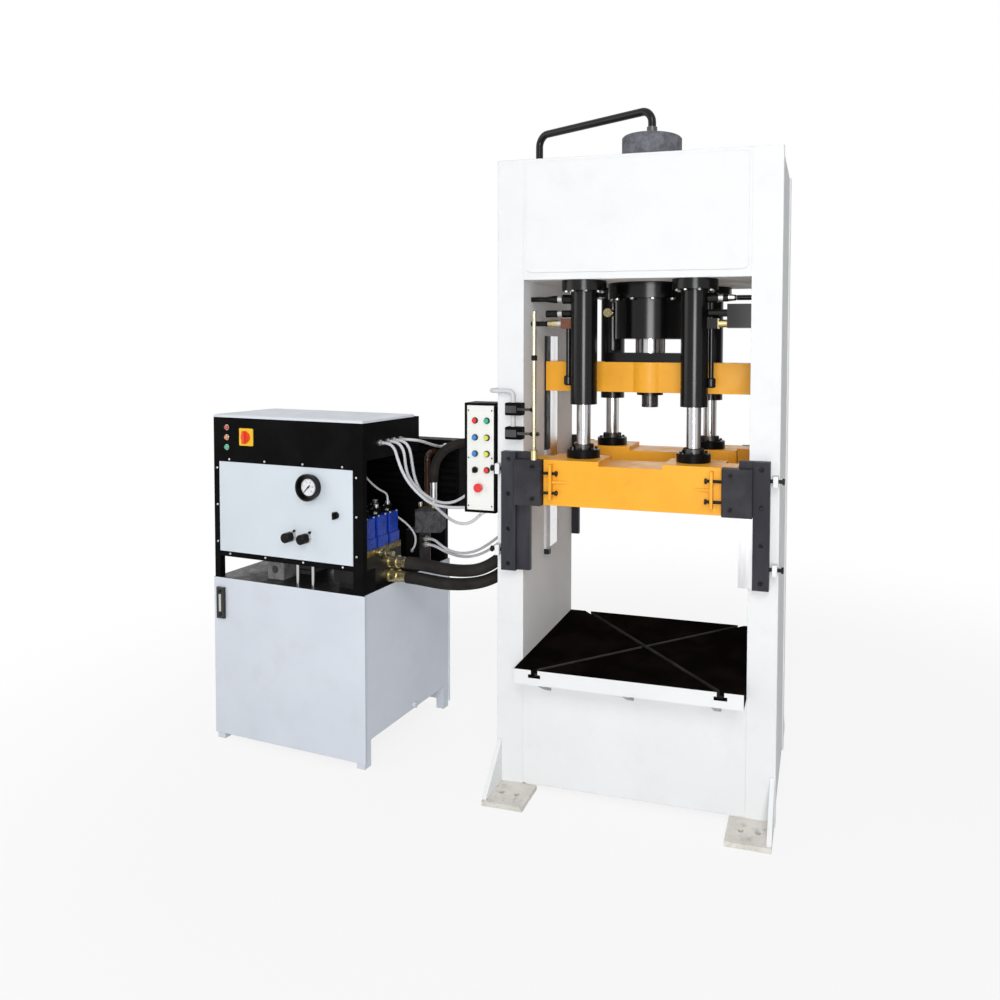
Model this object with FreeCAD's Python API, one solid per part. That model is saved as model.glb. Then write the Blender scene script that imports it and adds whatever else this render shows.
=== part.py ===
import FreeCAD, Part
import math
import os

from FreeCAD import Vector

# Hydraulic press with a separate power unit, in millimetres.
# Origin: on the floor at the middle of the press frame. X to the right, Y to the back, Z up.

# ---- welded press frame
upright_width = 125.0
frame_depth = 700.0
frame_height = 2825.0
window_width = 1000.0
window_top = 2296.0
bed_top = 529.0
bed_gap = 25.0              # floor to the underside of the bed box
flange_plate = 40.0         # front and rear plates of each upright
inner_plate = 30.0          # plate of each upright towards the window
web_plate = 22.0            # outer side plate of each upright
web_recess = 8.0            # side plate set back between the flange plates
edge_round = 5.0
crown_floor = 60.0          # bottom plate of the crown, top plate of the bed
bed_web = 25.0
crown_cover_margin_x = 13.0
crown_cover_margin_top = 13.0
crown_cover_margin_bottom = 31.0
crown_cover_thick = 5.0
crown_cover_corner = 26.0
bolster_thick = 65.0
bolster_overhang = 112.0
bolster_side_gap = 0.5
slot_spread = 405.0         # half distance of the T-slot ends on the front and rear edges
slot_neck = 22.0
slot_neck_depth = 18.0
slot_head = 40.0
slot_head_height = 16.0
bed_rib_spread = 380.0
bed_rib_thick = 30.0
bed_rib_height = 66.0
bed_rib_reach = 84.0
foot_width = 188.0
foot_reach = 180.0
foot_thick = 22.0
foot_inset = 4.0            # outer edge of a foot plate inside the upright's side
gusset_thick = 20.0
gusset_height = 190.0
anchor_hole = 12.0
anchor_pitch = 70.0
anchor_back = 92.0          # anchor holes in front of the upright

# ---- flat guides of the blank holder, on the front and rear of the uprights
rail_bottom = 1005.0
rail_length = 530.0
rail_lip = 22.0
rail_thick = 45.0
rail_reach = 40.0           # lip past the window edge
rail_step = 20.0            # window edge to the proud strip
rail_margin = 37.0          # proud strip to the upright's outer side
rail_hole = 10.0
rail_hole_depth = 12.0
rail_hole_count = 4
rail_hole_margin = 31.0
jack_radius = 8.0
jack_head = 12.0
jack_head_thick = 10.0
jack_heights = (86.0, 451.0)    # above the foot of the rail
lug_thick = 20.0
lug_height = 46.0
lug_proud = 42.0
jack_run_out = 16.0

# ---- slide, ram and their guides on the inner walls
stroke_slide = 340.0
guide_thick = 12.0
guide_width = 156.0
guide_bottom = 1027.0
guide_top = 2052.0
stop_size = 26.0
slide_gap = 0.5
slide_depth = 180.0
slide_bottom = 1793.0
slide_height = 139.0
hub_bulge = 60.0            # half chord of the hub on the slide's faces
ram_radius = 70.0
spigot_radius = 30.0
ram_plate_half = 200.0
ram_plate_depth = 170.0
ram_plate_thick = 44.0
ram_flange_radius = 62.0
ram_flange_thick = 15.0
ram_nut_radius = 39.0
ram_nut_height = 57.0
nut_slot = 8.0
nut_slots = 8
piston_radius = 124.7
piston_height = 100.0
piston_head_room = 35.0     # above the piston at the top of its stroke

# ---- main cylinder
cylinder_radius = 165.0
cylinder_bore = 125.0
cylinder_bottom = 2040.0
cylinder_gland = 90.0
cylinder_flange = 200.0
cylinder_flange_thick = 72.0
cap_radius = 140.0
cap_height = 150.0
cap_ring = 150.0
cap_ring_height = 14.0
cap_spigot = 20.0
fit = 0.3                   # running gap of rods, rams and pistons
seat = 0.5                  # assembly gap of fixed bodies in their seats

# ---- four hold-down cylinders
hold_x = 250.0
hold_y = 250.0
hold_radius = 60.0
hold_bore = 50.0
hold_bottom = 1745.0
hold_flange = 100.0
hold_flange_thick = 46.0
hold_gland = 60.0
hold_top_wall = 16.0
hold_seams = (85.0, 115.0)  # grooves of the gland head above the lower end
seam_width = 3.0
seam_depth = 2.5
rod_radius = 31.5
rod_foot = 75.0
rod_foot_thick = 38.0
rod_hub = 46.0
rod_hub_height = 20.0
rod_piston_height = 60.0
rod_piston_room = 30.0

# ---- blank holder: frame with an open middle
stroke_down = 300.0
stroke_up = 20.0
holder_bottom = 1306.0
holder_height = 200.0
holder_half = 390.0
holder_front = 40.0         # beam stands in front of the upright's face
beam_depth = 220.0
side_width = 100.0
side_height = 120.0
pad_inner = 140.0
pad_step = 19.0
tongue_reach = 455.0
tongue_depth = 120.0
lug_plate = 12.0
lug_plate_x = 345.0
lug_plate_proud = 30.0
lug_plate_height = 154.0
lug_plate_drop = 16.0
rib_thick = 10.0
rib_length = 80.0
rib_proud = 14.0
gib_heights = (57.0, 143.0)     # above the holder's underside
gib_radius = 6.5
gib_head = 10.0
gib_head_thick = 9.0
shoe_inner = 394.0
shoe_gap = 0.5
shoe_proud = 27.0           # in front of the proud strip of the rail
shoe_chamfer = 4.0

# ---- trip rod and limit switches
trip_x = 428.0
trip_set_back = 15.0        # behind the front of the shoe
trip_radius = 8.5
trip_length = 648.0
trip_foot = 15.0
trip_foot_height = 42.0
trip_collar = 13.0
trip_collar_height = 22.0
trip_collar_z = 435.0       # above the rod's foot
switch_width = 79.0
switch_height = 56.0
switch_depth = 38.0
switch_inner = 494.0
switch_rises = (54.0, 161.0)    # above the top of the rails
lever_pivot = 14.0          # from the inner end of the switch
lever_width = 12.0
lever_thick = 4.0
lever_lengths = (89.0, 63.0)
roller_radius = 9.0
roller_width = 7.0
pin_radius = 3.5
link_conduit = 10.0
lead_bend = 24.0
lead_rise = 51.0

# ---- pipes
pipe_radius = 19.0
pipe_bend = 60.0
pipe_rise = 133.0           # crown pipe above the cylinder cap
cap_port_depth = 30.0
riser_gap = 47.0            # riser outside the upright
riser_y = 310.0
riser_bottom = 1495.0
riser_bend = 75.0
hose_tail = 60.0
tail_radius = 24.0
clamp_height = 40.0
clamp_levels = (1750.0, 2600.0)
coupling_levels = (2105.0, 2215.0)
coupling_nut = 21.0
coupling_tip = 12.0
elbow_cube = 44.0
coupling_reach = 120.0
stub_reach = 118.0
stub_level = 2150.0
stub_radius = 16.0
transfer_radius = 11.0
port_level = 1850.0
port_height = 44.0
port_radius = 20.0
rear_port_radius = 22.0
rear_port_reach = 48.0
rear_port_level = 2172.0
rear_nut_start = 48.0
rear_nut_end = 74.0
valve_box_width = 100.0
valve_box_depth = 72.0
side_port_ys = (-30.0, 36.0)
side_port_bottom = 1175.0
side_port_height = 60.0
side_pipe_radius = 11.0
side_hose_gap = 37.0
side_pipe_shift = 8.0
side_pipe_slant = 120.0
side_pipe_bend = 40.0
side_block_margin = 30.0
side_block_half = 36.0

# ---- control box on the left upright
box_width = 154.0
box_height = 500.0
box_depth = 110.0
box_bottom = 1245.0
box_wall = 3.0
box_border = 11.0
box_bracket = 7.0
panel_thick = 3.0
panel_recess = 2.0
button_columns = (51.0, 109.0)  # from the left side of the box
button_rows = (195.0, 269.0, 343.0, 420.0)  # above the underside of the box
bezel_radius = 14.75
bezel_thick = 4.0
button_radius = 11.0
button_height = 9.0
button_stem = 8.0
button_travel = 4.0
stop_column = 72.0
stop_row = 115.0
stop_bezel = 16.0
stop_radius = 20.0
stop_height = 14.0
stop_travel = 5.0
stem_length = 30.0
stem_gap = 0.3

# ---- power unit, in its own frame: origin at the front right corner on the floor,
# u to its right, v to its back, then turned and moved beside the press
unit_x = -1271.3
unit_y = -416.0
unit_turn = -5.263
unit_width = 902.0
tank_depth = 735.0
tank_top = 829.0
tank_floor = 126.0
skirt_floor = 30.0
tank_sheet = 6.0
tank_overhang = 8.0
tank_foot = 46.0
gauge_glass_width = 52.0
gauge_glass_height = 157.0
gauge_glass_drop = 48.0
gauge_glass_in = 16.0
gauge_glass_thick = 14.0
filler_left = 265.0
filler_width = 102.0
filler_front = 70.0
filler_height = 98.0
filler_bore = 20.0
drain_v = 403.0
drain_z = 145.0
drain_radius = 14.0
cabinet_top = 1639.0
cabinet_depth = 455.0
electric_bottom = 1462.0
sheet = 4.0
front_thick = 30.0
left_leg = 34.0
right_leg = 55.0
right_leg_depth = 92.0
front_rail_bottom = 940.0
back_sheet_width = 450.0
roof_thick = 14.0
roof_depth = 410.0
plate_width = 809.0
plate_height = 451.0
plate_left = 38.0           # black margin left of the light instrument panel
plate_bottom = 967.0
plate_thick = 3.0
lamp_left = 88.0
lamp_levels = (1491.0, 1540.0, 1590.0)
lamp_radius = 11.0
lamp_proud = 12.0
switch_plate_left = 212.0
switch_plate_size = 86.0
switch_plate_z = 1546.0
handle_radius = 26.0
handle_bar = 62.0
handle_bar_width = 14.0
handle_proud = 26.0
dial_left = 607.0
dial_z = 1326.0
dial_radius = 65.0
dial_proud = 34.0
dial_rim = 8.0
dial_face = 18.0
needle_length = 46.0
key_left = 753.0
key_z = 1201.0
key_radius = 17.0
key_proud = 26.0
relief_lefts = (489.0, 581.0)
relief_z = 1078.0
relief_radius = 24.0
relief_collar = 27.0
relief_proud = 52.0
relief_collar_proud = 12.0
relief_tube_radius = 9.0

# ---- hydraulics on the tank
motor_radius = 118.0
motor_length = 360.0
motor_right = 420.0         # from the unit's right side to the pump end of the motor
motor_v = 300.0
motor_rise = 152.0
motor_foot_width = 210.0
bell_length = 90.0
bell_radius = 80.0
pump_length = 90.0
pump_radius = 52.0
block_right = 30.0
block_width = 190.0
block_front = 60.0
block_depth = 280.0
block_height = 160.0
block_stand = 30.0
valve_count = 3
valve_width = 78.0
valve_length = 150.0
valve_height = 150.0
valve_pitch = 92.0
coil_radius = 21.0
coil_length = 52.0
filter_u = 40.0
filter_v = 500.0
filter_bottom = 1040.0
filter_size = 135.0
filter_height = 110.0
filter_post = 84.0
port_u = 32.0
port_v = 541.0
port_stub = 18.0
port_stub_top = 1285.0
port_knob_radius = 11.0
port_knob_height = 30.0
hose_port_v = 215.0
hose_port_levels = (873.0, 944.0)
hose_port_reach = 95.0      # past the unit's right side
hose_port_nut = 31.0
small_port_v = 150.0
small_port_z = 1000.0
small_port_nut = 16.0
small_port_reach = 60.0
brown_u = -35.0
brown_v = 585.0
brown_radius = 16.0
brown_top = 1430.0
brown_bend = 40.0
cooler_left = 450.0
cooler_reach = 120.0
cooler_front = 650.0
cooler_thick = 100.0
cooler_bottom = 1128.0
cooler_height = 367.0
cooler_post = 30.0
cooler_skirt_margin = 14.0
cooler_fin = 16.0
cooler_slots = 9
fan_radius = 140.0
gland_vs = (120.0, 180.0, 230.0, 282.0)
gland_z = 1538.0
gland_radius = 13.0
gland_length = 26.0
sensor_levels = (960.0, 992.0)
fan_cable_u = 40.0
fan_cable_z = 1466.0
wall_glands = ((-125.0, 1290.0), (-80.0, 1400.0), (96.0, 1090.0), (131.0, 1090.0))

# ---- free hoses and conduits, from chosen route points
main_hose_diameter = 48.0
side_hose_diameter = 60.0
conduit_diameter = 14.0
lead_diameter = 10.0
lead_gland_u = -110.0
lead_gland_v = 100.0
lead_level = 1135.0
lead_end_u = -41.0
lead_end_z = 930.0

# ---- sizes that follow from those above
half_window = window_width / 2
half_width = half_window + upright_width
half_depth = frame_depth / 2
rail_top = rail_bottom + rail_length
rail_inner = half_window - rail_reach
strip_inner = half_window + rail_step
rail_outer = half_width - rail_margin
slide_half = half_window - guide_thick - slide_gap
slide_top = slide_bottom + slide_height
hub_radius = math.hypot(slide_depth / 2, hub_bulge)
holder_top = holder_bottom + holder_height
beam_front = half_depth + holder_front
beam_back = beam_front - beam_depth
shoe_outer = strip_inner - shoe_gap
shoe_face = half_depth + rail_thick + shoe_proud
shoe_back = half_depth + rail_lip + fit
trip_y = -(shoe_face - trip_set_back)
bolster_top = bed_top + bolster_thick
switch_heights = tuple(rail_top + rise for rise in switch_rises)
pipe_top = frame_height + cap_height + pipe_rise
riser_x = half_width + riser_gap
side_hose_x = half_width + side_hose_gap
box_right = half_width + box_bracket
box_left = box_right + box_width
box_cable_x = -box_left + 76.0
box_cable_y = -half_depth + 50.0
unit_cos = math.cos(math.radians(unit_turn))
unit_sin = math.sin(math.radians(unit_turn))


# ---------------------------------------------------------------- helpers

def block(x0, x1, y0, y1, z0, z1):
    """Box between two corners."""
    return Part.makeBox(x1 - x0, y1 - y0, z1 - z0, Vector(x0, y0, z0))


def rod(start, radius, length, axis):
    """Cylinder from a start point along an axis."""
    return Part.makeCylinder(radius, length, Vector(*start), Vector(*axis))


def turned(profile, start, axis):
    """Revolved body: (radius, height) points along an axis from a start point."""
    points = [Vector(r, 0, h) for r, h in profile]
    face = Part.Face(Part.makePolygon(points + [points[0]]))
    solid = face.revolve(Vector(0, 0, 0), Vector(0, 0, 1), 360)
    turn = FreeCAD.Rotation(Vector(0, 0, 1), Vector(*axis))
    solid.Placement = FreeCAD.Placement(Vector(*start), turn)
    return solid


def hexagon(start, across, length, axis):
    """Hexagonal prism of a bolt head or nut."""
    corner = across / math.sqrt(3)
    turns = [math.radians(60 * k) for k in range(6)]
    points = [Vector(corner * math.cos(a), corner * math.sin(a), 0) for a in turns]
    solid = Part.Face(Part.makePolygon(points + [points[0]])).extrude(Vector(0, 0, length))
    turn = FreeCAD.Rotation(Vector(0, 0, 1), Vector(*axis))
    solid.Placement = FreeCAD.Placement(Vector(*start), turn)
    return solid


def joined(solids):
    """One solid out of touching ones."""
    first, rest = solids[0], solids[1:]
    return first.multiFuse(rest).removeSplitter() if rest else first


def round_edges(shape, radius, wanted):
    """Fillet the edges for which wanted(edge) is true."""
    edges = [e for e in shape.Edges if wanted(e)]
    return shape.makeFillet(radius, edges) if edges else shape


def is_upright(edge):
    """True for a straight edge that runs along Z."""
    a, b = edge.Vertexes[0].Point, edge.Vertexes[-1].Point
    return math.hypot(a.x - b.x, a.y - b.y) < 1e-6 and abs(a.z - b.z) > 1.0


def runs_back(edge):
    """True for an edge that runs from front to back."""
    return abs(edge.Vertexes[0].Point.y - edge.Vertexes[-1].Point.y) > 1.0


def bent_wire(points, radii):
    """Straight runs joined by tangent arcs."""
    nodes = [Vector(*p) for p in points]
    edges = []
    start = nodes[0]
    for k in range(1, len(nodes) - 1):
        back = (nodes[k - 1] - nodes[k]).normalize()
        ahead = (nodes[k + 1] - nodes[k]).normalize()
        half_turn = (math.pi - back.getAngle(ahead)) / 2
        cut = radii[k - 1] * math.tan(half_turn)
        enter = nodes[k] + back * cut
        leave = nodes[k] + ahead * cut
        inward = (back + ahead).normalize()
        centre = nodes[k] + inward * (radii[k - 1] / math.cos(half_turn))
        middle = centre - inward * radii[k - 1]
        edges.append(Part.LineSegment(start, enter).toShape())
        edges.append(Part.Arc(enter, middle, leave).toShape())
        start = leave
    edges.append(Part.LineSegment(start, nodes[-1]).toShape())
    return Part.Wire(edges)


def tube(wire, radius):
    """Round bar along a wire."""
    start = wire.Edges[0].firstVertex().Point
    away = wire.Edges[0].tangentAt(wire.Edges[0].FirstParameter)
    ring = Part.Wire(Part.makeCircle(radius, start, away))
    return wire.makePipeShell([ring], True, False)


def pipe(points, radius, bend):
    """Rigid pipe with one bend radius."""
    return tube(bent_wire(points, [bend] * (len(points) - 2)), radius)


def cord(name, points, diameter):
    """Free hose: every arc is as large as its two runs allow."""
    nodes = [Vector(*p) for p in points]
    runs = [(b - a).Length for a, b in zip(nodes, nodes[1:])]
    radii = []
    for k in range(1, len(nodes) - 1):
        back = nodes[k - 1] - nodes[k]
        ahead = nodes[k + 1] - nodes[k]
        half_turn = (math.pi - back.getAngle(ahead)) / 2
        radii.append(0.45 * min(runs[k - 1], runs[k]) / math.tan(half_turn))
    wire = bent_wire(points, radii)
    solid = tube(wire, diameter / 2)
    ratio = solid.Volume / (math.pi * diameter ** 2 / 4 * wire.Length)
    print(name, "length", round(wire.Length), "runs", [round(r) for r in runs])
    print(name, "radii", [round(r) for r in radii], "volume ratio", round(ratio, 4))
    return solid


def on_unit(shape):
    """Place a solid of the power unit beside the press."""
    placed = shape.copy()
    turn = FreeCAD.Rotation(Vector(0, 0, 1), unit_turn)
    placed.Placement = FreeCAD.Placement(Vector(unit_x, unit_y, 0), turn).multiply(placed.Placement)
    return placed


def unit_point(u, v, z):
    """A point of the power unit in press coordinates."""
    return (unit_x + u * unit_cos - v * unit_sin, unit_y + u * unit_sin + v * unit_cos, z)


def unit_way(du, dv):
    """A level direction of the power unit in press coordinates."""
    return (du * unit_cos - dv * unit_sin, du * unit_sin + dv * unit_cos, 0.0)


def led(place, way, lead):
    """The point at a distance from a place along a unit direction."""
    return tuple(p + w * lead for p, w in zip(place, way))


def mirrored_x(shape):
    return shape.mirror(Vector(0, 0, 0), Vector(1, 0, 0))


def mirrored_y(shape):
    return shape.mirror(Vector(0, 0, 0), Vector(0, 1, 0))


def four_corners(shape):
    """The shape at the right front corner and its three mirror images."""
    pair = [shape, mirrored_x(shape)]
    return pair + [mirrored_y(s) for s in pair]


def compound(solids):
    return Part.makeCompound(solids)


# ---------------------------------------------------------------- press frame

def side_frame(side):
    """Upright on the right (side 1) or left (-1): flange plates, webs and screw lugs."""
    front = block(half_window, half_width, -half_depth, -half_depth + flange_plate, 0, frame_height)
    outer = half_width - web_recess
    web = block(half_window, outer, -half_depth, half_depth, 0, frame_height)
    body = joined([front, mirrored_y(front), web])
    hollow = block(half_window + inner_plate, outer - web_plate,
                   -half_depth + flange_plate, half_depth - flange_plate,
                   -1, frame_height - inner_plate)
    body = round_edges(body, edge_round, lambda e: is_upright(e) and e.CenterOfMass.x > outer + 1)
    body = body.cut(hollow)
    lugs = []
    for height in jack_heights:
        z = rail_bottom + height
        x1 = half_width - edge_round
        lug = block(x1 - lug_thick, x1, -half_depth - lug_proud, -half_depth,
                    z - lug_height / 2, z + lug_height / 2)
        lugs.append(lug)
    body = joined([body] + lugs)
    for height in jack_heights:
        body = body.cut(rod((rail_outer, -half_depth - rail_lip, rail_bottom + height),
                            jack_radius + seat / 2, half_width, (1, 0, 0)))
    return body if side > 0 else mirrored_x(body)


def side_frame_left():
    """Left upright with the holes for the two feed pipes of the hold-down cylinders."""
    body = side_frame(-1)
    for level in coupling_levels:
        body = body.cut(rod((-half_width - 1, -hold_y, level), side_pipe_radius + seat,
                            upright_width + 2, (1, 0, 0)))
    return body


def crown_box():
    """Welded crown: a box of plates, with the bore of the main cylinder through it."""
    body = block(-half_window, half_window, -half_depth, half_depth, window_top, frame_height)
    room = block(-half_window + inner_plate, half_window - inner_plate,
                 -half_depth + flange_plate, half_depth - flange_plate,
                 window_top + crown_floor, frame_height - flange_plate)
    return body.cut(room).cut(rod((0, 0, window_top - 1), cylinder_radius + seat,
                                  frame_height, (0, 0, 1)))


def crown_cover():
    half = half_window - crown_cover_margin_x
    plate = block(-half, half, -half_depth - crown_cover_thick, -half_depth,
                  window_top + crown_cover_margin_bottom, frame_height - crown_cover_margin_top)
    return round_edges(plate, crown_cover_corner,
                       runs_back)


def bed_box():
    """Welded bed, open below, with three ribs under the overhang of the bolster."""
    body = block(-half_window, half_window, -half_depth, half_depth, bed_gap, bed_top)
    room = (window_width - 2 * inner_plate - 2 * bed_web) / 3
    for k in (-1, 0, 1):
        middle = k * (room + bed_web)
        body = body.cut(block(middle - room / 2, middle + room / 2, -half_depth + flange_plate,
                              half_depth - flange_plate, 0, bed_top - crown_floor))
    parts = [body]
    for x in (-bed_rib_spread, 0, bed_rib_spread):
        x0 = x - bed_rib_thick / 2
        points = [Vector(x0, -half_depth, bed_top),
                  Vector(x0, -half_depth - bed_rib_reach, bed_top),
                  Vector(x0, -half_depth - bed_rib_reach, bed_top - bed_rib_height / 4),
                  Vector(x0, -half_depth, bed_top - bed_rib_height)]
        rib = Part.Face(Part.makePolygon(points + [points[0]]))
        parts.append(rib.extrude(Vector(bed_rib_thick, 0, 0)))
    return joined(parts)


def t_slot(x0, y0, x1, y1):
    """Cutter for a T-slot between two points of the bolster's top face."""
    run = math.hypot(x1 - x0, y1 - y0) + 4 * slot_head
    neck = block(-run / 2, run / 2, -slot_neck / 2, slot_neck / 2,
                 bolster_top - slot_neck_depth - 1, bolster_top + 1)
    head_top = bolster_top - slot_neck_depth
    head = block(-run / 2, run / 2, -slot_head / 2, slot_head / 2,
                 head_top - slot_head_height, head_top)
    cutter = joined([neck, head])
    turn = FreeCAD.Rotation(Vector(0, 0, 1), math.degrees(math.atan2(y1 - y0, x1 - x0)))
    middle = Vector((x0 + x1) / 2, (y0 + y1) / 2, 0)
    cutter.Placement = FreeCAD.Placement(middle, turn)
    return cutter


def bolster_plate():
    """Bolster with two T-slots that cross on its diagonals."""
    half = half_window - bolster_side_gap
    front = -half_depth - bolster_overhang
    plate = block(-half, half, front, half_depth, bed_top, bolster_top)
    plate = plate.cut(t_slot(-slot_spread, front, slot_spread, half_depth))
    return plate.cut(t_slot(slot_spread, front, -slot_spread, half_depth))


def foot_plate():
    """Foot at the right front: plate with two anchor holes and an outer gusset."""
    x1 = half_width - foot_inset
    y1 = -half_depth
    plate = block(x1 - foot_width, x1, y1 - foot_reach, y1, 0, foot_thick)
    for k in (0, 1):
        x = x1 - foot_width / 2 - anchor_pitch / 2 + k * anchor_pitch
        plate = plate.cut(rod((x, y1 - anchor_back, -1), anchor_hole, foot_thick + 2, (0, 0, 1)))
    x0 = x1 - gusset_thick
    points = [Vector(x0, y1, foot_thick), Vector(x0, y1 - foot_reach + 6, foot_thick),
              Vector(x0, y1 - foot_reach + 6, foot_thick + 10),
              Vector(x0, y1, foot_thick + gusset_height)]
    gusset = Part.Face(Part.makePolygon(points + [points[0]])).extrude(Vector(gusset_thick, 0, 0))
    return joined([plate, gusset])


def guide_rail():
    """Right front rail: lip over the window edge and a proud strip with counterbores."""
    y0 = -half_depth
    lip = block(rail_inner, rail_outer, y0 - rail_lip, y0, rail_bottom, rail_top)
    strip = block(strip_inner, rail_outer, y0 - rail_thick, y0, rail_bottom, rail_top)
    rail = joined([lip, strip])
    pitch = (rail_length - 2 * rail_hole_margin) / (rail_hole_count - 1)
    x = (strip_inner + rail_outer) / 2
    for k in range(rail_hole_count):
        z = rail_bottom + rail_hole_margin + k * pitch
        rail = rail.cut(rod((x, y0 - rail_thick - 1, z), rail_hole, rail_hole_depth + 1, (0, 1, 0)))
    return rail


def jack_screws():
    """Adjusting screws through the lugs, with their tips on the rails."""
    screws = []
    head_x = half_width - edge_round + jack_run_out
    for height in jack_heights:
        z = rail_bottom + height
        y = -half_depth - rail_lip
        shank = rod((rail_outer, y, z), jack_radius, head_x - rail_outer, (1, 0, 0))
        head = hexagon((head_x, y, z), 2 * jack_head, jack_head_thick, (1, 0, 0))
        screw = joined([shank, head])
        screws += [screw, mirrored_x(screw)]
    return compound(screws)


def slide_guides():
    """Wear strips on the inner walls, each with a stop block at its lower end."""
    x0 = half_window - guide_thick
    strip = block(x0, half_window, -guide_width / 2, guide_width / 2, guide_bottom, guide_top)
    stop = block(half_window - stop_size, half_window, -guide_width / 2,
                 -guide_width / 2 + stop_size, guide_bottom - stop_size, guide_bottom)
    return compound([strip, mirrored_x(strip), stop, mirrored_x(stop)])


# ---------------------------------------------------------------- main cylinder and slide

def main_cylinder():
    height = frame_height - cylinder_bottom
    flange_top = window_top - cylinder_bottom
    flange_bottom = flange_top - cylinder_flange_thick
    return turned([(ram_radius + fit, 0), (cylinder_radius, 0), (cylinder_radius, flange_bottom),
                   (cylinder_flange, flange_bottom), (cylinder_flange, flange_top),
                   (cylinder_radius, flange_top), (cylinder_radius, height),
                   (cylinder_bore, height), (cylinder_bore, cylinder_gland),
                   (ram_radius + fit, cylinder_gland)],
                  (0, 0, cylinder_bottom), (0, 0, 1))


def cylinder_cap():
    spigot = cylinder_bore - seat
    port = pipe_radius
    return turned([(0, -cap_spigot), (spigot, -cap_spigot), (spigot, 0), (cap_ring, 0),
                   (cap_ring, cap_ring_height), (cap_radius, cap_ring_height),
                   (cap_radius, cap_height - edge_round), (cap_radius - edge_round, cap_height),
                   (port, cap_height), (port, cap_height - cap_port_depth),
                   (0, cap_height - cap_port_depth)],
                  (0, 0, frame_height), (0, 0, 1))


def main_ram():
    """Piston, ram and the spigot that passes through the slide."""
    foot = slide_bottom - ram_flange_thick - ram_nut_height
    piston_top = frame_height - cap_spigot - piston_head_room
    return turned([(0, 0), (spigot_radius, 0), (spigot_radius, slide_top - foot),
                   (ram_radius, slide_top - foot),
                   (ram_radius, piston_top - piston_height - foot),
                   (piston_radius, piston_top - piston_height - foot),
                   (piston_radius, piston_top - foot), (0, piston_top - foot)],
                  (0, 0, foot), (0, 0, 1))


def slide_beam():
    """Slide between the inner walls, with a round hub on the ram's axis."""
    bar = block(-slide_half, slide_half, -slide_depth / 2, slide_depth / 2, slide_bottom, slide_top)
    hub = rod((0, 0, slide_bottom), hub_radius, slide_height, (0, 0, 1))
    bore = rod((0, 0, slide_bottom - 1), spigot_radius, slide_height + 2, (0, 0, 1))
    return joined([bar, hub]).cut(bore)


def ram_clamps():
    """Plate on top of the slide, and the flange and slotted nut under it."""
    plate = block(-ram_plate_half, ram_plate_half, -ram_plate_depth / 2, ram_plate_depth / 2,
                  slide_top, slide_top + ram_plate_thick)
    plate = plate.cut(rod((0, 0, slide_top - 1), ram_radius, ram_plate_thick + 2, (0, 0, 1)))
    flange = rod((0, 0, slide_bottom - ram_flange_thick), ram_flange_radius, ram_flange_thick, (0, 0, 1))
    nut_bottom = slide_bottom - ram_flange_thick - ram_nut_height
    nut = rod((0, 0, nut_bottom), ram_nut_radius, ram_nut_height, (0, 0, 1))
    under = joined([flange, nut])
    under = under.cut(rod((0, 0, nut_bottom - 1), spigot_radius, 2 * ram_nut_height, (0, 0, 1)))
    for k in range(nut_slots):
        cutter = block(ram_nut_radius - 4, ram_nut_radius + 4, -nut_slot / 2, nut_slot / 2,
                       nut_bottom + 10, nut_bottom + ram_nut_height - 8)
        cutter.rotate(Vector(0, 0, 0), Vector(0, 0, 1), 360 * k / nut_slots)
        under = under.cut(cutter)
    return compound(plate.Solids + [under])


# ---------------------------------------------------------------- hold-down cylinders

def hold_cylinder():
    """Cylinder at the right front, hung from the crown by its flange."""
    height = window_top - hold_bottom
    shoulder = height - hold_flange_thick
    outline = [(rod_radius + fit, 0), (hold_radius, 0)]
    for seam in hold_seams:
        outline += [(hold_radius, seam), (hold_radius - seam_depth, seam),
                    (hold_radius - seam_depth, seam + seam_width),
                    (hold_radius, seam + seam_width)]
    outline += [(hold_radius, shoulder), (hold_flange, shoulder), (hold_flange, height), (0, height),
                (0, height - hold_top_wall), (hold_bore, height - hold_top_wall),
                (hold_bore, hold_gland), (rod_radius + fit, hold_gland)]
    return turned(outline, (hold_x, -hold_y, hold_bottom), (0, 0, 1))


def hold_rod():
    """Rod at the right front: foot flange on the blank holder, piston in the cylinder."""
    piston_top = window_top - hold_top_wall - rod_piston_room - holder_top
    hub_top = rod_foot_thick + rod_hub_height
    return turned([(0, 0), (rod_foot, 0), (rod_foot, rod_foot_thick - 4),
                   (rod_foot - 4, rod_foot_thick), (rod_hub, rod_foot_thick), (rod_hub, hub_top),
                   (rod_radius, hub_top), (rod_radius, piston_top - rod_piston_height),
                   (hold_bore - fit, piston_top - rod_piston_height),
                   (hold_bore - fit, piston_top), (0, piston_top)],
                  (hold_x, -hold_y, holder_top), (0, 0, 1))


# ---------------------------------------------------------------- blank holder

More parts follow.
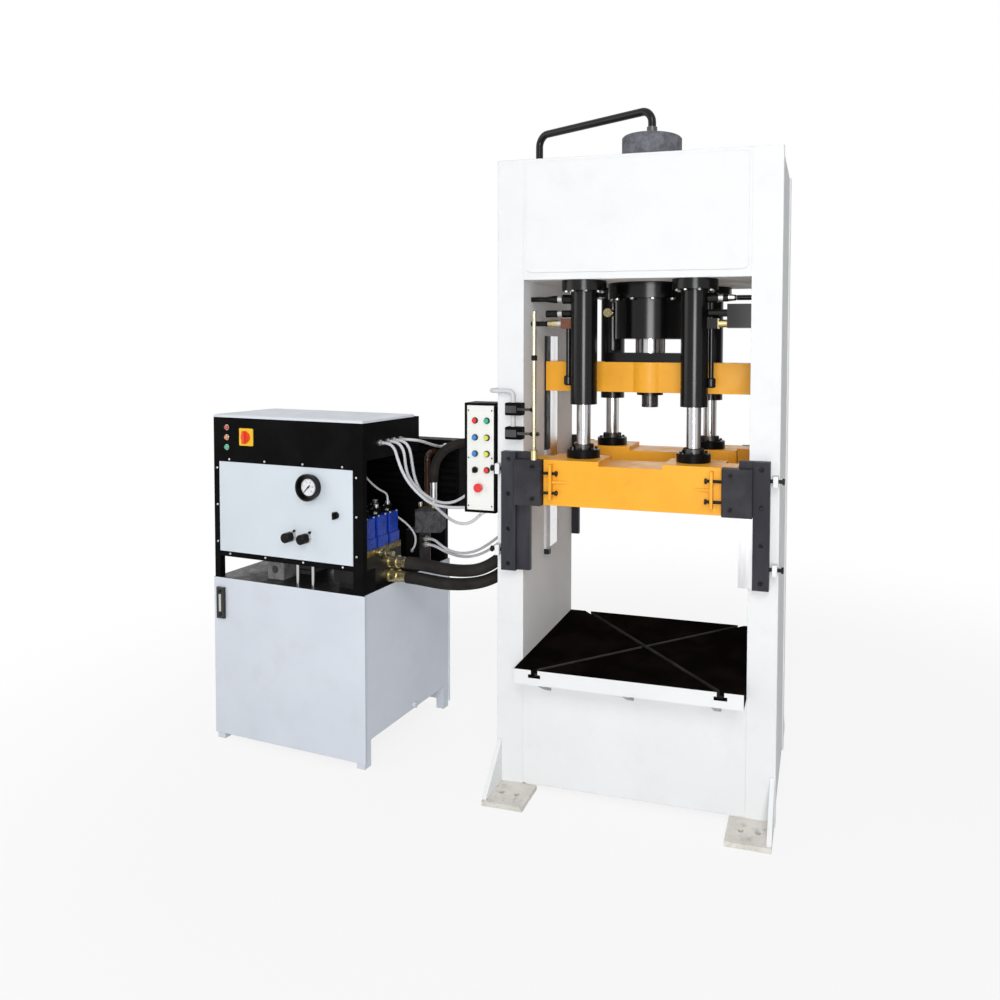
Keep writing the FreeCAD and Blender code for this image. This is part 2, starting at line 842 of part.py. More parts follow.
def holder_corner():
    """Right half of the front beam with its pad, tongue, screw plate and rib."""
    middle_top = holder_top - pad_step
    parts = [block(0, holder_half, -beam_front, -beam_back, holder_bottom, middle_top),
             block(pad_inner, holder_half, -beam_front, -beam_back, holder_bottom, holder_top),
             block(holder_half - side_width, tongue_reach, -shoe_back, -shoe_back + tongue_depth,
                   holder_bottom, holder_top)]
    plate_top = holder_top - lug_plate_drop
    parts.append(block(lug_plate_x, lug_plate_x + lug_plate, -beam_front - lug_plate_proud,
                       -beam_front, plate_top - lug_plate_height, plate_top))
    rib_z = holder_bottom + sum(gib_heights) / 2
    points = [Vector(lug_plate_x - rib_length, -beam_front, rib_z),
              Vector(lug_plate_x, -beam_front - rib_proud, rib_z),
              Vector(lug_plate_x, -beam_front, rib_z)]
    parts.append(Part.Face(Part.makePolygon(points + [points[0]])).extrude(Vector(0, 0, rib_thick)))
    corner = joined(parts)
    for height in gib_heights:
        hole = rod((lug_plate_x - 1, gib_y(), holder_bottom + height), gib_radius,
                   lug_plate + 2, (1, 0, 0))
        corner = corner.cut(hole)
    return corner


def gib_y():
    """Depth of the gib screws: in the middle of the shoe's free edge."""
    return -(beam_front + lug_plate_proud / 2)


def blank_holder():
    """Holder frame: front and rear beams, low side members and an open middle."""
    side = block(holder_half - side_width, holder_half, -beam_back - 1, beam_back + 1,
                 holder_bottom, holder_bottom + side_height)
    return joined(four_corners(holder_corner()) + [side, mirrored_x(side)])


def guide_shoe():
    """Shoe at the right front: runs on the rail's lip and against its proud strip."""
    shoe = block(shoe_inner, shoe_outer, -shoe_face, -shoe_back, holder_bottom, holder_top)
    return shoe.makeChamfer(shoe_chamfer, [e for e in shoe.Edges if is_upright(e)
                                           and e.CenterOfMass.y < -shoe_face + 1])


def gib_screws():
    """Screws through the screw plates, with their tips on the shoes."""
    screws = []
    for height in gib_heights:
        z = holder_bottom + height
        shank = rod((lug_plate_x - gib_head_thick, gib_y(), z), gib_radius,
                    shoe_inner - lug_plate_x + gib_head_thick, (1, 0, 0))
        head = hexagon((lug_plate_x - gib_head_thick - 14, gib_y(), z), 2 * gib_head, gib_head_thick,
                       (1, 0, 0))
        link = rod((lug_plate_x - 14 - 1, gib_y(), z), gib_radius, 14, (1, 0, 0))
        screws += four_corners(joined([shank, link, head]))
    return compound(screws)


def trip_rod():
    """Trip rod on the left front shoe, with its foot nut and one collar."""
    start = (-trip_x, trip_y, holder_top)
    return turned([(0, 0), (trip_foot, 0), (trip_foot, trip_foot_height),
                   (trip_radius, trip_foot_height), (trip_radius, trip_collar_z),
                   (trip_collar, trip_collar_z), (trip_collar, trip_collar_z + trip_collar_height),
                   (trip_radius, trip_collar_z + trip_collar_height),
                   (trip_radius, trip_length), (0, trip_length)], start, (0, 0, 1))


# ---------------------------------------------------------------- limit switches

def switch_body(bottom):
    body = block(-switch_inner - switch_width, -switch_inner, -half_depth - switch_depth,
                 -half_depth, bottom, bottom + switch_height)
    body = round_edges(body, 6.0, runs_back)
    return body.cut(rod((-switch_inner - lever_pivot, -half_depth - switch_depth - 1,
                         bottom + switch_height / 2), pin_radius + fit, 12, (0, 1, 0)))


def limit_switches():
    """Two switches on the left upright, the link between them and the lead-in."""
    lower, upper = switch_heights
    x = -switch_inner - switch_width / 2 - 8
    y = -half_depth - switch_depth / 2
    link = rod((x, y, lower + switch_height), link_conduit, upper - lower - switch_height, (0, 0, 1))
    top = upper + switch_height
    out = -half_width - 26
    inner = -half_depth + flange_plate + 12
    arch = top + lead_rise
    lead = pipe([(-half_width + web_recess, inner, arch), (out, inner, arch),
                 (out, y, arch), (x, y, arch), (x, y, top)], link_conduit, lead_bend)
    return compound([switch_body(lower), switch_body(upper), link, lead])


def switch_lever(index):
    """Lever with its pin and roller; the lower one is the long one."""
    z = switch_heights[index] + switch_height / 2
    x = -switch_inner - lever_pivot
    front = -half_depth - switch_depth
    length = lever_lengths[index]
    arm = block(x - lever_width / 2, x + length, front - lever_thick - fit, front - fit,
                z - lever_width / 2, z + lever_width / 2)
    pin = rod((x, front - lever_thick - fit, z), pin_radius, lever_thick + 10, (0, 1, 0))
    roller = rod((x + length, front - fit - lever_thick, z), roller_radius, roller_width, (0, 1, 0))
    return joined([arm, pin, roller])


# ---------------------------------------------------------------- pipes and fittings

def hose_end_direction():
    """Unit vector from the riser towards the main hose, level."""
    return Vector(-0.928, -0.3725, 0).normalize()


def riser_foot():
    away = hose_end_direction()
    return Vector(-riser_x, riser_y, riser_bottom) + away * (riser_bend + 25)


def crown_pipe():
    """Pipe from the cylinder cap over the crown and down behind the left upright."""
    foot = riser_foot()
    points = [(0, 0, frame_height + cap_height - cap_port_depth), (0, 0, pipe_top),
              (-riser_x, riser_y, pipe_top), (-riser_x, riser_y, riser_bottom),
              (foot.x, foot.y, foot.z)]
    return tube(bent_wire(points, [pipe_bend, pipe_bend, riser_bend]), pipe_radius)


def side_pipe(y, level):
    """Feed pipe up the left upright and through it to a hold-down cylinder."""
    start = side_port_bottom + side_port_height
    x = -side_hose_x + side_pipe_shift
    reach = hold_x + hold_radius + coupling_reach
    return pipe([(x, y, start), (x, y, level - side_pipe_slant),
                 (x, -hold_y, level), (-reach, -hold_y, level)], side_pipe_radius, side_pipe_bend)


def transfer_x():
    return hold_x + hold_radius + transfer_radius + 2


def pressure_pipes():
    """All rigid pipes: crown pipe, side pipes, transfer tubes and those on the tank."""
    transfer = rod((transfer_x(), -hold_y, port_level + port_height / 2), transfer_radius,
                   coupling_levels[0] - elbow_cube / 2 - port_level - port_height / 2, (0, 0, 1))
    brown = pipe([(brown_u, brown_v, tank_top), (brown_u, brown_v, brown_top),
                  (brown_u, cooler_front, brown_top)], brown_radius, brown_bend)
    tubes = [rod((left - unit_width, front_thick + relief_tube_radius, tank_top), relief_tube_radius,
                 relief_z - tank_top, (0, 0, 1)) for left in relief_lefts]
    placed = [on_unit(s) for s in [brown] + tubes]
    sides = [side_pipe(y, level) for y, level in zip(side_port_ys, coupling_levels)]
    reach = hold_x + hold_radius + coupling_reach
    stubs = [rod((reach, -hold_y, level), side_pipe_radius, half_window - reach, (1, 0, 0))
             for level in coupling_levels]
    return compound([crown_pipe(), transfer, mirrored_x(transfer)] + sides + stubs + placed)


def coupling(level, reach):
    """Nut and tapered coupling on the right front cylinder, pointing to the right wall."""
    return turned([(0, 0), (coupling_nut, 0), (coupling_nut, reach * 0.35),
                   (coupling_nut * 0.8, reach * 0.35), (coupling_nut * 0.8, reach * 0.7),
                   (coupling_tip, reach), (0, reach)],
                  (hold_x + hold_radius - seam_depth, -hold_y, level), (1, 0, 0))


def pipe_fittings():
    """Couplings, port blocks, clamps, hose tails and port blocks on the press."""
    wall = half_window
    right = []
    for level in coupling_levels:
        right.append(coupling(level, coupling_reach))
    half = elbow_cube / 2
    cube = block(hold_x, hold_x + hold_radius + elbow_cube, -hold_y - half, -hold_y + half,
                 coupling_levels[0] - half, coupling_levels[0] + half)
    right[0] = joined([right[0], round_edges(cube, 4.0, runs_back)])
    stub = rod((hold_x + hold_radius, -hold_y, stub_level), stub_radius, stub_reach, (1, 0, 0))
    port = rod((transfer_x(), -hold_y, port_level - port_height / 2), port_radius,
               port_height, (0, 0, 1))
    port = port.makeFillet(port_radius - transfer_radius - 1, port.Edges[:1] + port.Edges[2:])
    port = port.cut(rod((hold_x, -hold_y, port_level - port_height), hold_radius,
                        2 * port_height, (0, 0, 1)))
    clipped = [s.cut(rod((hold_x, -hold_y, hold_bottom), hold_radius, window_top, (0, 0, 1)))
               for s in right + [stub]]
    solids = clipped + [mirrored_x(s) for s in clipped] + [port, mirrored_x(port)]
    valve_back = -hold_y - coupling_nut - 3
    valve_foot = coupling_levels[0] - coupling_nut
    valve_box = block(wall - valve_box_width, wall, valve_back - valve_box_depth, valve_back,
                      valve_foot, valve_foot + valve_box_width)
    solids.append(valve_box)
    port_y = hold_y - hold_radius - rear_port_reach / 2
    rear_port = joined([
        rod((-hold_x, hold_y, rear_port_level), rear_port_radius, hold_radius + rear_port_reach, (0, -1, 0)),
        turned([(0, 0), (rear_port_radius - 9, 0), (rear_port_radius - 9, rear_nut_start),
                (rear_port_radius - 4, rear_nut_start), (rear_port_radius - 4, rear_nut_end),
                (0, rear_nut_end)], (-hold_x, port_y, rear_port_level), (1, 0, 0))])
    solids.append(rear_port.cut(rod((-hold_x, hold_y, hold_bottom), hold_radius, window_top,
                                    (0, 0, 1))))
    collar = turned([(pipe_radius, 0), (pipe_radius + 11, 0), (pipe_radius + 11, 22),
                     (pipe_radius + 6, 26), (pipe_radius + 6, 52), (pipe_radius, 52)],
                    (0, 0, frame_height + cap_height), (0, 0, 1))
    solids.append(collar)
    for level in clamp_levels:
        clamp = block(-riser_x - pipe_radius - 10, -half_width + web_recess, riser_y - clamp_height / 2,
                      riser_y + clamp_height / 2, level, level + clamp_height)
        clamp = clamp.cut(block(-half_width, 0, -half_depth, half_depth, 0, frame_height))
        solids.append(clamp.cut(rod((-riser_x, riser_y, level - 1), pipe_radius,
                                    clamp_height + 2, (0, 0, 1))))
    away = hose_end_direction()
    foot = riser_foot()
    solids.append(turned([(0, 0), (tail_radius + 4, 0), (tail_radius + 4, 20), (tail_radius, 20),
                          (tail_radius, hose_tail), (0, hose_tail)],
                         (foot.x, foot.y, foot.z), (away.x, away.y, away.z)))
    solids.append(block(-side_hose_x - side_block_margin, -half_width + web_recess,
                        side_port_ys[0] - side_block_half, side_port_ys[1] + side_block_half,
                        side_port_bottom, side_port_bottom + side_port_height))
    ferrule = side_hose_diameter / 2 + 1
    for y in side_port_ys:
        solids.append(turned([(0, 0), (ferrule, 0), (ferrule, 24), (ferrule - 3, 24),
                              (ferrule - 3, hose_tail), (0, hose_tail)],
                             (-side_hose_x, y, side_port_bottom), (0, 0, -1)))
    return compound(solids)


# ---------------------------------------------------------------- control box

def box_front():
    return -half_depth


def panel_front():
    return box_front() + panel_recess


def control_box():
    """Box with a proud border round the panel, held off the upright by two brackets."""
    y0 = box_front()
    body = block(-box_left, -box_right, y0, y0 + box_depth, box_bottom, box_bottom + box_height)
    body = round_edges(body, 3.0, runs_back)
    body = body.cut(block(-box_left + box_border, -box_right - box_border, y0 - 1,
                          panel_front() + panel_thick,
                          box_bottom + box_border, box_bottom + box_height - box_border))
    body = body.cut(block(-box_left + box_border + 8, -box_right - box_border - 8, y0,
                          y0 + box_depth - box_wall,
                          box_bottom + box_border + 8, box_bottom + box_height - box_border - 8))
    brackets = [block(-box_right, -half_width, y0 + 20, y0 + 80, z, z + 40)
                for z in (box_bottom + 60, box_bottom + box_height - 100)]
    return joined([body] + brackets)


def button_places():
    """Panel centre points (x, z) of the seven push-buttons and the selector."""
    return [(-box_left + column, box_bottom + row) for row in reversed(button_rows)
            for column in button_columns]


def stop_place():
    return (-box_left + stop_column, box_bottom + stop_row)


def control_panel():
    """Light front panel with a bezel round each button."""
    front = panel_front()
    plate = block(-box_left + box_border + seat, -box_right - box_border - seat, front,
                  front + panel_thick, box_bottom + box_border + seat,
                  box_bottom + box_height - box_border - seat)
    rings = [rod((x, front - bezel_thick, z), bezel_radius, bezel_thick, (0, 1, 0))
             for x, z in button_places()]
    stop_x, stop_z = stop_place()
    rings.append(rod((stop_x, front - bezel_thick, stop_z), stop_bezel, bezel_thick, (0, 1, 0)))
    plate = joined([plate] + rings)
    for x, z in button_places() + [stop_place()]:
        plate = plate.cut(rod((x, front - bezel_thick - 1, z), button_stem + stem_gap,
                              bezel_thick + panel_thick + 2, (0, 1, 0)))
    return plate


def push_button(place, radius, height, travel):
    """Cap in front of its bezel by the travel, on a stem into the box."""
    x, z = place
    face = panel_front() - bezel_thick - travel
    return turned([(0, 0), (button_stem, 0), (button_stem, stem_length), (radius, stem_length),
                   (radius, stem_length + height - 2), (radius - 2, stem_length + height),
                   (0, stem_length + height)],
                  (x, face + stem_length, z), (0, -1, 0))


def mode_selector():
    """Rotary selector: knob with a finger bar."""
    x, z = button_places()[6]
    face = panel_front() - bezel_thick
    knob = turned([(0, 0), (button_stem, 0), (button_stem, stem_length - 4 + fit),
                   (button_radius, stem_length - 4 + fit), (button_radius, stem_length + 4),
                   (0, stem_length + 4)],
                  (x, face + stem_length - 4, z), (0, -1, 0))
    bar = block(x - 3.5, x + 3.5, face - 20, face - 6, z - button_radius, z + button_radius)
    return joined([knob, bar])


# ---------------------------------------------------------------- power unit

def oil_tank():
    """Tank with overhanging end plates, feet, a filler block, a drain plug and a level gauge."""
    body = block(-unit_width, 0, tank_sheet, tank_depth - tank_sheet, tank_floor, tank_top)
    body = body.cut(block(-unit_width + tank_sheet, -tank_sheet, 2 * tank_sheet,
                          tank_depth - 2 * tank_sheet, tank_floor + tank_sheet,
                          tank_top - tank_sheet))
    over = tank_overhang
    front = block(-unit_width - over, over, 0, tank_sheet, skirt_floor, tank_top)
    rear = block(-unit_width - over, over, tank_depth - tank_sheet, tank_depth,
                 skirt_floor, tank_top)
    feet = []
    for u in (-unit_width, -tank_foot):
        for v in (tank_sheet, tank_depth - tank_sheet - tank_foot):
            feet.append(block(u, u + tank_foot, v, v + tank_foot, 0, tank_floor))
    plug = rod((0, drain_v, drain_z), drain_radius, 16, (1, 0, 0))
    u0 = -unit_width + filler_left
    filler = block(u0, u0 + filler_width, filler_front, filler_front + filler_width,
                   tank_top, tank_top + filler_height)
    filler = round_edges(filler, 8.0, is_upright)
    middle = (u0 + filler_width / 2, filler_front - 1, tank_top + filler_height / 2)
    filler = filler.cut(rod(middle, filler_bore, filler_width / 2, (0, 1, 0)))
    u0 = -unit_width + gauge_glass_in
    z1 = tank_top - gauge_glass_drop
    gauge = block(u0, u0 + gauge_glass_width, -gauge_glass_thick, 0, z1 - gauge_glass_height, z1)
    gauge = round_edges(gauge, 5.0, is_upright)
    return on_unit(joined([body, front, rear, plug, filler, gauge] + feet))


def unit_cabinet():
    """Electric box on a front frame, a left side sheet and a part back sheet."""
    u0 = -unit_width
    electric = block(u0, 0, 0, cabinet_depth, electric_bottom, cabinet_top)
    electric = electric.cut(block(u0 + sheet, -sheet, sheet, cabinet_depth - sheet,
                                  electric_bottom + sheet, cabinet_top - sheet))
    front = block(u0, 0, 0, front_thick, tank_top, electric_bottom)
    gap = block(u0 + left_leg, -right_leg, -1, front_thick + 1, tank_top - 1, front_rail_bottom)
    side = block(u0, u0 + sheet, 0, cabinet_depth, front_rail_bottom, electric_bottom)
    back = block(u0, u0 + back_sheet_width, cabinet_depth - sheet, cabinet_depth,
                 front_rail_bottom, electric_bottom)
    leg = block(-sheet, 0, 0, right_leg_depth, tank_top, front_rail_bottom)
    rear_leg = block(u0, u0 + left_leg, cabinet_depth - sheet, cabinet_depth,
                     tank_top, front_rail_bottom)
    u = switch_plate_left - unit_width
    half = switch_plate_size / 2
    plate = block(u - half, u + half, -4, 0, switch_plate_z - half, switch_plate_z + half)
    plate = round_edges(plate, 6.0, runs_back)
    cabinet = joined([electric, front.cut(gap), side, back, leg, rear_leg, plate])
    behind = block(u0 + left_leg, -right_leg, 8, front_thick + 1, front_rail_bottom + 30,
                   electric_bottom)
    cabinet = cabinet.cut(behind)
    for left in relief_lefts:
        cabinet = cabinet.cut(rod((left - unit_width, -1, relief_z), relief_radius * 0.5 + fit,
                                  front_thick + 2, (0, 1, 0)))
    cabinet = cabinet.cut(rod((dial_left - unit_width, -1, dial_z), 12, 12, (0, 1, 0)))
    cabinet = cabinet.cut(rod((key_left - unit_width, -1, key_z), key_radius * 0.6 + fit,
                              12, (0, 1, 0)))
    cabinet = cabinet.cut(rod((u, -5, switch_plate_z), 6 + fit, 31, (0, 1, 0)))
    return on_unit(cabinet)


def cabinet_roof():
    lid = block(-unit_width, 0, 0, roof_depth, cabinet_top, cabinet_top + roof_thick)
    return on_unit(lid.makeChamfer(4.0, [e for e in lid.Edges
                                         if e.CenterOfMass.z > cabinet_top + roof_thick - 1]))


def instrument_panel():
    """Light plate that carries the gauge, the key switch and the relief valves."""
    u0 = -unit_width + plate_left
    plate = block(u0, u0 + plate_width, -plate_thick, 0, plate_bottom, plate_bottom + plate_height)
    holes = [(left, relief_z, relief_radius * 0.5 + fit) for left in relief_lefts]
    holes += [(dial_left, dial_z, 12.0), (key_left, key_z, key_radius * 0.6 + fit)]
    for left, z, radius in holes:
        plate = plate.cut(rod((left - unit_width, -plate_thick - 1, z), radius,
                              plate_thick + 2, (0, 1, 0)))
    return on_unit(plate)


def pilot_lamps():
    lamps = []
    for z in lamp_levels:
        lamps.append(turned([(0, 0), (lamp_radius + 3, 0), (lamp_radius + 3, 3), (lamp_radius, 3),
                             (lamp_radius, lamp_proud - 3), (lamp_radius - 3, lamp_proud),
                             (0, lamp_proud)],
                            (lamp_left - unit_width, 0, z), (0, -1, 0)))
    return on_unit(compound(lamps))


def pressure_gauge():
    """Gauge case with a rim, a dial face and the stem of its needle."""
    depth = dial_proud
    case = turned([(0, -6), (12, -6), (12, 0), (dial_radius - 6, 0), (dial_radius - 6, depth - 14),
                   (dial_radius, depth - 14), (dial_radius, depth), (dial_radius - dial_rim, depth),
                   (dial_radius - dial_rim, dial_face), (4.0 + fit, dial_face),
                   (4.0 + fit, 4), (0, 4)],
                  (dial_left - unit_width, -plate_thick, dial_z), (0, -1, 0))
    return on_unit(case)


def gauge_needle():
    """Needle on its stem, pointing up to the left of the dial."""
    y = -plate_thick - dial_face
    u = dial_left - unit_width
    hub = rod((u, y + 10, dial_z), 4.0, 15, (0, -1, 0))
    arm = Part.Face(Part.makePolygon([Vector(u - 3, y - 2, dial_z - 14), Vector(u + 3, y - 2, dial_z - 14),
                                      Vector(u + 1, y - 2, dial_z + needle_length),
                                      Vector(u - 1, y - 2, dial_z + needle_length),
                                      Vector(u - 3, y - 2, dial_z - 14)])).extrude(Vector(0, -2, 0))
    needle = joined([hub, arm])
    needle.rotate(Vector(u, y, dial_z), Vector(0, 1, 0), -135)
    return on_unit(needle)


def main_switch_handle():
    u = switch_plate_left - unit_width
    knob = turned([(0, 0), (6, 0), (6, 24 + fit), (handle_radius, 24 + fit), (handle_radius, 32), (0, 32)],
                  (u, 20, switch_plate_z), (0, -1, 0))
    bar = block(u - handle_bar_width / 2, u + handle_bar_width / 2, -handle_proud, -8,
                switch_plate_z - handle_bar / 2, switch_plate_z + handle_bar / 2)
    return on_unit(joined([knob, bar]))


def key_switch():
    """Black selector on the instrument panel."""
    u = key_left - unit_width
    face = -plate_thick
    knob = turned([(0, 0), (key_radius * 0.6, 0), (key_radius * 0.6, 10 + fit), (key_radius, 10 + fit),
                   (key_radius, 22), (0, 22)], (u, face + 10, key_z), (0, -1, 0))
    bar = block(u - 4, u + 4, face - key_proud, face - 8, key_z - key_radius, key_z + key_radius)
    return on_unit(joined([knob, bar]))


def relief_knob(index):
    """Relief valve adjuster: stem through the panel, ribbed grip and a ball lever."""
    u = relief_lefts[index] - unit_width
    face = -plate_thick
    stem = relief_radius * 0.5
    out = relief_collar_proud
    knob = turned([(0, 0), (stem, 0), (stem, 20 + fit), (relief_collar, 20 + fit),
                   (relief_collar, 20 + out), (relief_radius, 20 + out),
                   (relief_radius, 20 + relief_proud - 4), (relief_radius - 4, 20 + relief_proud),
                   (0, 20 + relief_proud)], (u, face + 20, relief_z), (0, -1, 0))
    reach = relief_radius + 22
    turn = math.radians(45)
    way = Vector(math.cos(turn), 0, math.sin(turn))
    lever = rod((u, face - out - 8, relief_z), 3.0, reach, (way.x, 0, way.z))
    ball = Part.makeSphere(7.0, Vector(u, face - out - 8, relief_z) + way * reach)
    return on_unit(joined([knob, lever, ball]))


def pump_motor():
    """Foot-mounted motor, bell housing and pump, in line on the tank top."""
    z = tank_top + motor_rise
    right = -motor_right
    shell = turned([(0, 0), (60, 0), (60, 12), (motor_radius - 14, 12), (motor_radius - 14, 40),
                    (motor_radius, 46), (motor_radius, motor_length - 40),
                    (motor_radius - 8, motor_length - 34), (motor_radius - 8, motor_length),
                    (0, motor_length)],
                   (right, motor_v, z), (-1, 0, 0))
    foot = block(right - motor_length + 60, right - 60, motor_v - motor_foot_width / 2,
                 motor_v + motor_foot_width / 2, tank_top, tank_top + 18)
    stand = block(right - motor_length + 80, right - 80, motor_v - 80, motor_v + 80, tank_top, z)
    terminal = block(right - motor_length + 120, right - 120, motor_v - motor_radius - 34,
                     motor_v - motor_radius + 20, z - 50, z + 50)
    bell = turned([(0, 0), (bell_radius, 0), (bell_radius - 12, bell_length), (0, bell_length)],
                  (right, motor_v, z), (1, 0, 0))
    pump = rod((right + bell_length, motor_v, z), pump_radius, pump_length, (1, 0, 0))
    return on_unit(joined([shell, foot, stand, terminal, bell, pump]))


def valve_block():
    """Main manifold on its stand, and the filter head on its post behind it."""
    u1 = -block_right
    z0 = tank_top + block_stand
    body = block(u1 - block_width, u1, block_front, block_front + block_depth, z0, z0 + block_height)
    body = round_edges(body, 4.0, is_upright)
    stand = block(u1 - block_width + 20, u1 - 20, block_front + 20,
                  block_front + block_depth - 20, tank_top, z0)
    half = filter_size / 2
    head = block(-half, half, -half, half, 0, filter_height)
    head = round_edges(head, 10.0, is_upright)
    head.Placement = FreeCAD.Placement(Vector(filter_u, filter_v, filter_bottom),
                                       FreeCAD.Rotation(Vector(0, 0, 1), 20))
    post = block(-filter_post, 0, filter_v - filter_post / 2, filter_v + filter_post / 2,
                 tank_top, filter_bottom)
    return on_unit(compound([joined([body, stand]), joined([head, post])]))


def valve_place(k):
    """Middle (u, v) of the valve with number k on the manifold."""
    v = block_front + block_depth / 2 + (k - (valve_count - 1) / 2) * valve_pitch
    return -block_right - block_width / 2 + 12, v


def directional_valves():
    """Blue valves on the manifold: a sandwich plate and a body each."""
    z0 = tank_top + block_stand + block_height
    valves = []
    for k in range(valve_count):
        u, v = valve_place(k)
        plate = block(u - valve_length / 2 - 6, u + valve_length / 2 + 6, v - valve_width / 2,
                      v + valve_width / 2, z0, z0 + 52)
        body = block(u - valve_length / 2, u + valve_length / 2, v - valve_width / 2 + 3,
                     v + valve_width / 2 - 3, z0 + 52, z0 + valve_height)
        valves.append(round_edges(joined([plate, body]), 5.0, is_upright))
    return on_unit(compound(valves))


def solenoid_coils():
    """Coil with its tube end on top of each valve, two to a valve."""
    z0 = tank_top + block_stand + block_height + valve_height
    coils = []
    for k in range(valve_count):
        u, v = valve_place(k)
        for side in (-1, 1):
            coils.append(turned([(0, 0), (coil_radius, 0), (coil_radius, coil_length * 0.7),
                                 (coil_radius * 0.55, coil_length * 0.7),
                                 (coil_radius * 0.55, coil_length), (0, coil_length)],
                                (u + side * valve_length / 4, v, z0), (0, 0, 1)))
    return on_unit(compound(coils))


def hose_port(v, z, nut, reach):
    """Stepped fitting from the manifold's right face."""
    start = -block_right
    total = reach - start
    return turned([(0, 0), (nut, 0), (nut, total * 0.22), (nut * 0.72, total * 0.22),
                   (nut * 0.72, total * 0.34), (nut, total * 0.34), (nut, total * 0.6),
                   (nut * 0.85, total * 0.6), (nut * 0.85, total), (0, total)],
                  (start, v, z), (1, 0, 0))


def hose_fittings():
    """Zinc fittings of the hoses: two large, one small, and the tail of the main hose."""
    fittings = [hose_port(hose_port_v, z, hose_port_nut, hose_port_reach) for z in hose_port_levels]
    fittings.append(hose_port(small_port_v, small_port_z, small_port_nut, small_port_reach))
    base = filter_bottom + filter_height
    fittings.append(turned([(0, 0), (port_stub + 7, 0), (port_stub + 7, 18), (port_stub, 18),
                            (port_stub, port_stub_top - base), (0, port_stub_top - base)],
                           (port_u, port_v, base), (0, 0, 1)))
    fittings.append(turned([(0, 0), (port_knob_radius * 0.6, 0), (port_knob_radius, 8),
                            (port_knob_radius, port_knob_height), (0, port_knob_height)],
                           (port_u - 60, port_v - 30, base), (0, 0, 1)))
    return on_unit(compound(fittings))


def oil_cooler():
    """Finned air cooler with a fan ring at the back, on two posts."""
    v0, v1 = cooler_front, cooler_front + cooler_thick
    core = block(-cooler_left, cooler_reach, v0, v1, cooler_bottom, cooler_bottom + cooler_height)
    width = cooler_left + cooler_reach
    pitch = (cooler_height - 2 * cooler_fin) / cooler_slots
    for k in range(cooler_slots):
        z = cooler_bottom + cooler_fin + (k + 0.25) * pitch
        core = core.cut(block(-cooler_left + cooler_fin, cooler_reach - cooler_fin, v0 - 1,
                              v0 + cooler_fin, z, z + pitch / 2))
    middle = (-cooler_left + cooler_reach) / 2
    z_mid = cooler_bottom + cooler_height / 2
    ring = rod((middle, v1, z_mid), fan_radius, 26, (0, 1, 0))
    ring = ring.cut(rod((middle, v1 + 4, z_mid), fan_radius - 12, 24, (0, 1, 0)))
    posts = []
    for u in (-cooler_left + 10, -cooler_post):
        posts.append(block(u, u + cooler_post, v1 - 20 - cooler_post, v1 - 20, tank_top, cooler_bottom))
    skirt = block(-cooler_left + cooler_skirt_margin, -cooler_skirt_margin,
                  v1 - 20 - cooler_post, v1 - 20, tank_top, cooler_bottom)
    return on_unit(joined([core, ring, skirt] + posts))


def gland(start, axis, length=gland_length):
    """Cable gland: nut and dome."""
    nut = length - 14
    return turned([(0, 0), (gland_radius, 0), (gland_radius, nut), (gland_radius - 2, nut + 1),
                   (gland_radius - 4, length), (0, length)], start, axis)


def box_gland():
    """Gland that enters the underside of the control box at 45 degrees."""
    start = (box_cable_x + gland_radius, box_cable_y, box_bottom + gland_radius)
    solid = gland(start, (-1, 0, -1), gland_length + gland_radius)
    return solid.cut(block(-box_left, 0, -half_depth, 0, box_bottom, frame_height))


def cable_glands():
    """Glands on the electric box, filter post, cooler, control box and left upright."""
    solids = [on_unit(gland((0, v, gland_z), (1, 0, 0))) for v in gland_vs]
    solids += [on_unit(gland((0, filter_v, z), (1, 0, 0))) for z in sensor_levels]
    solids.append(on_unit(gland((fan_cable_u, cooler_front, fan_cable_z), (0, -1, 0))))
    solids.append(on_unit(gland((lead_gland_u, lead_gland_v, electric_bottom), (0, 0, -1))))
    solids.append(box_gland())
    solids += [gland((-half_width + web_recess, y, z), (-1, 0, 0)) for y, z in wall_glands]
    return compound(solids)


# ---------------------------------------------------------------- free hoses and conduits

def hose_exit(z):
    return unit_point(hose_port_reach, hose_port_v, z)


def free_route(exit_place, exit_way, middle, end_place, end_way, leads):
    """Route from one fitting to the other, square to both at its ends."""
    first, last = leads
    return ([exit_place, led(exit_place, exit_way, first)] + middle
            + [led(end_place, end_way, last), end_place])


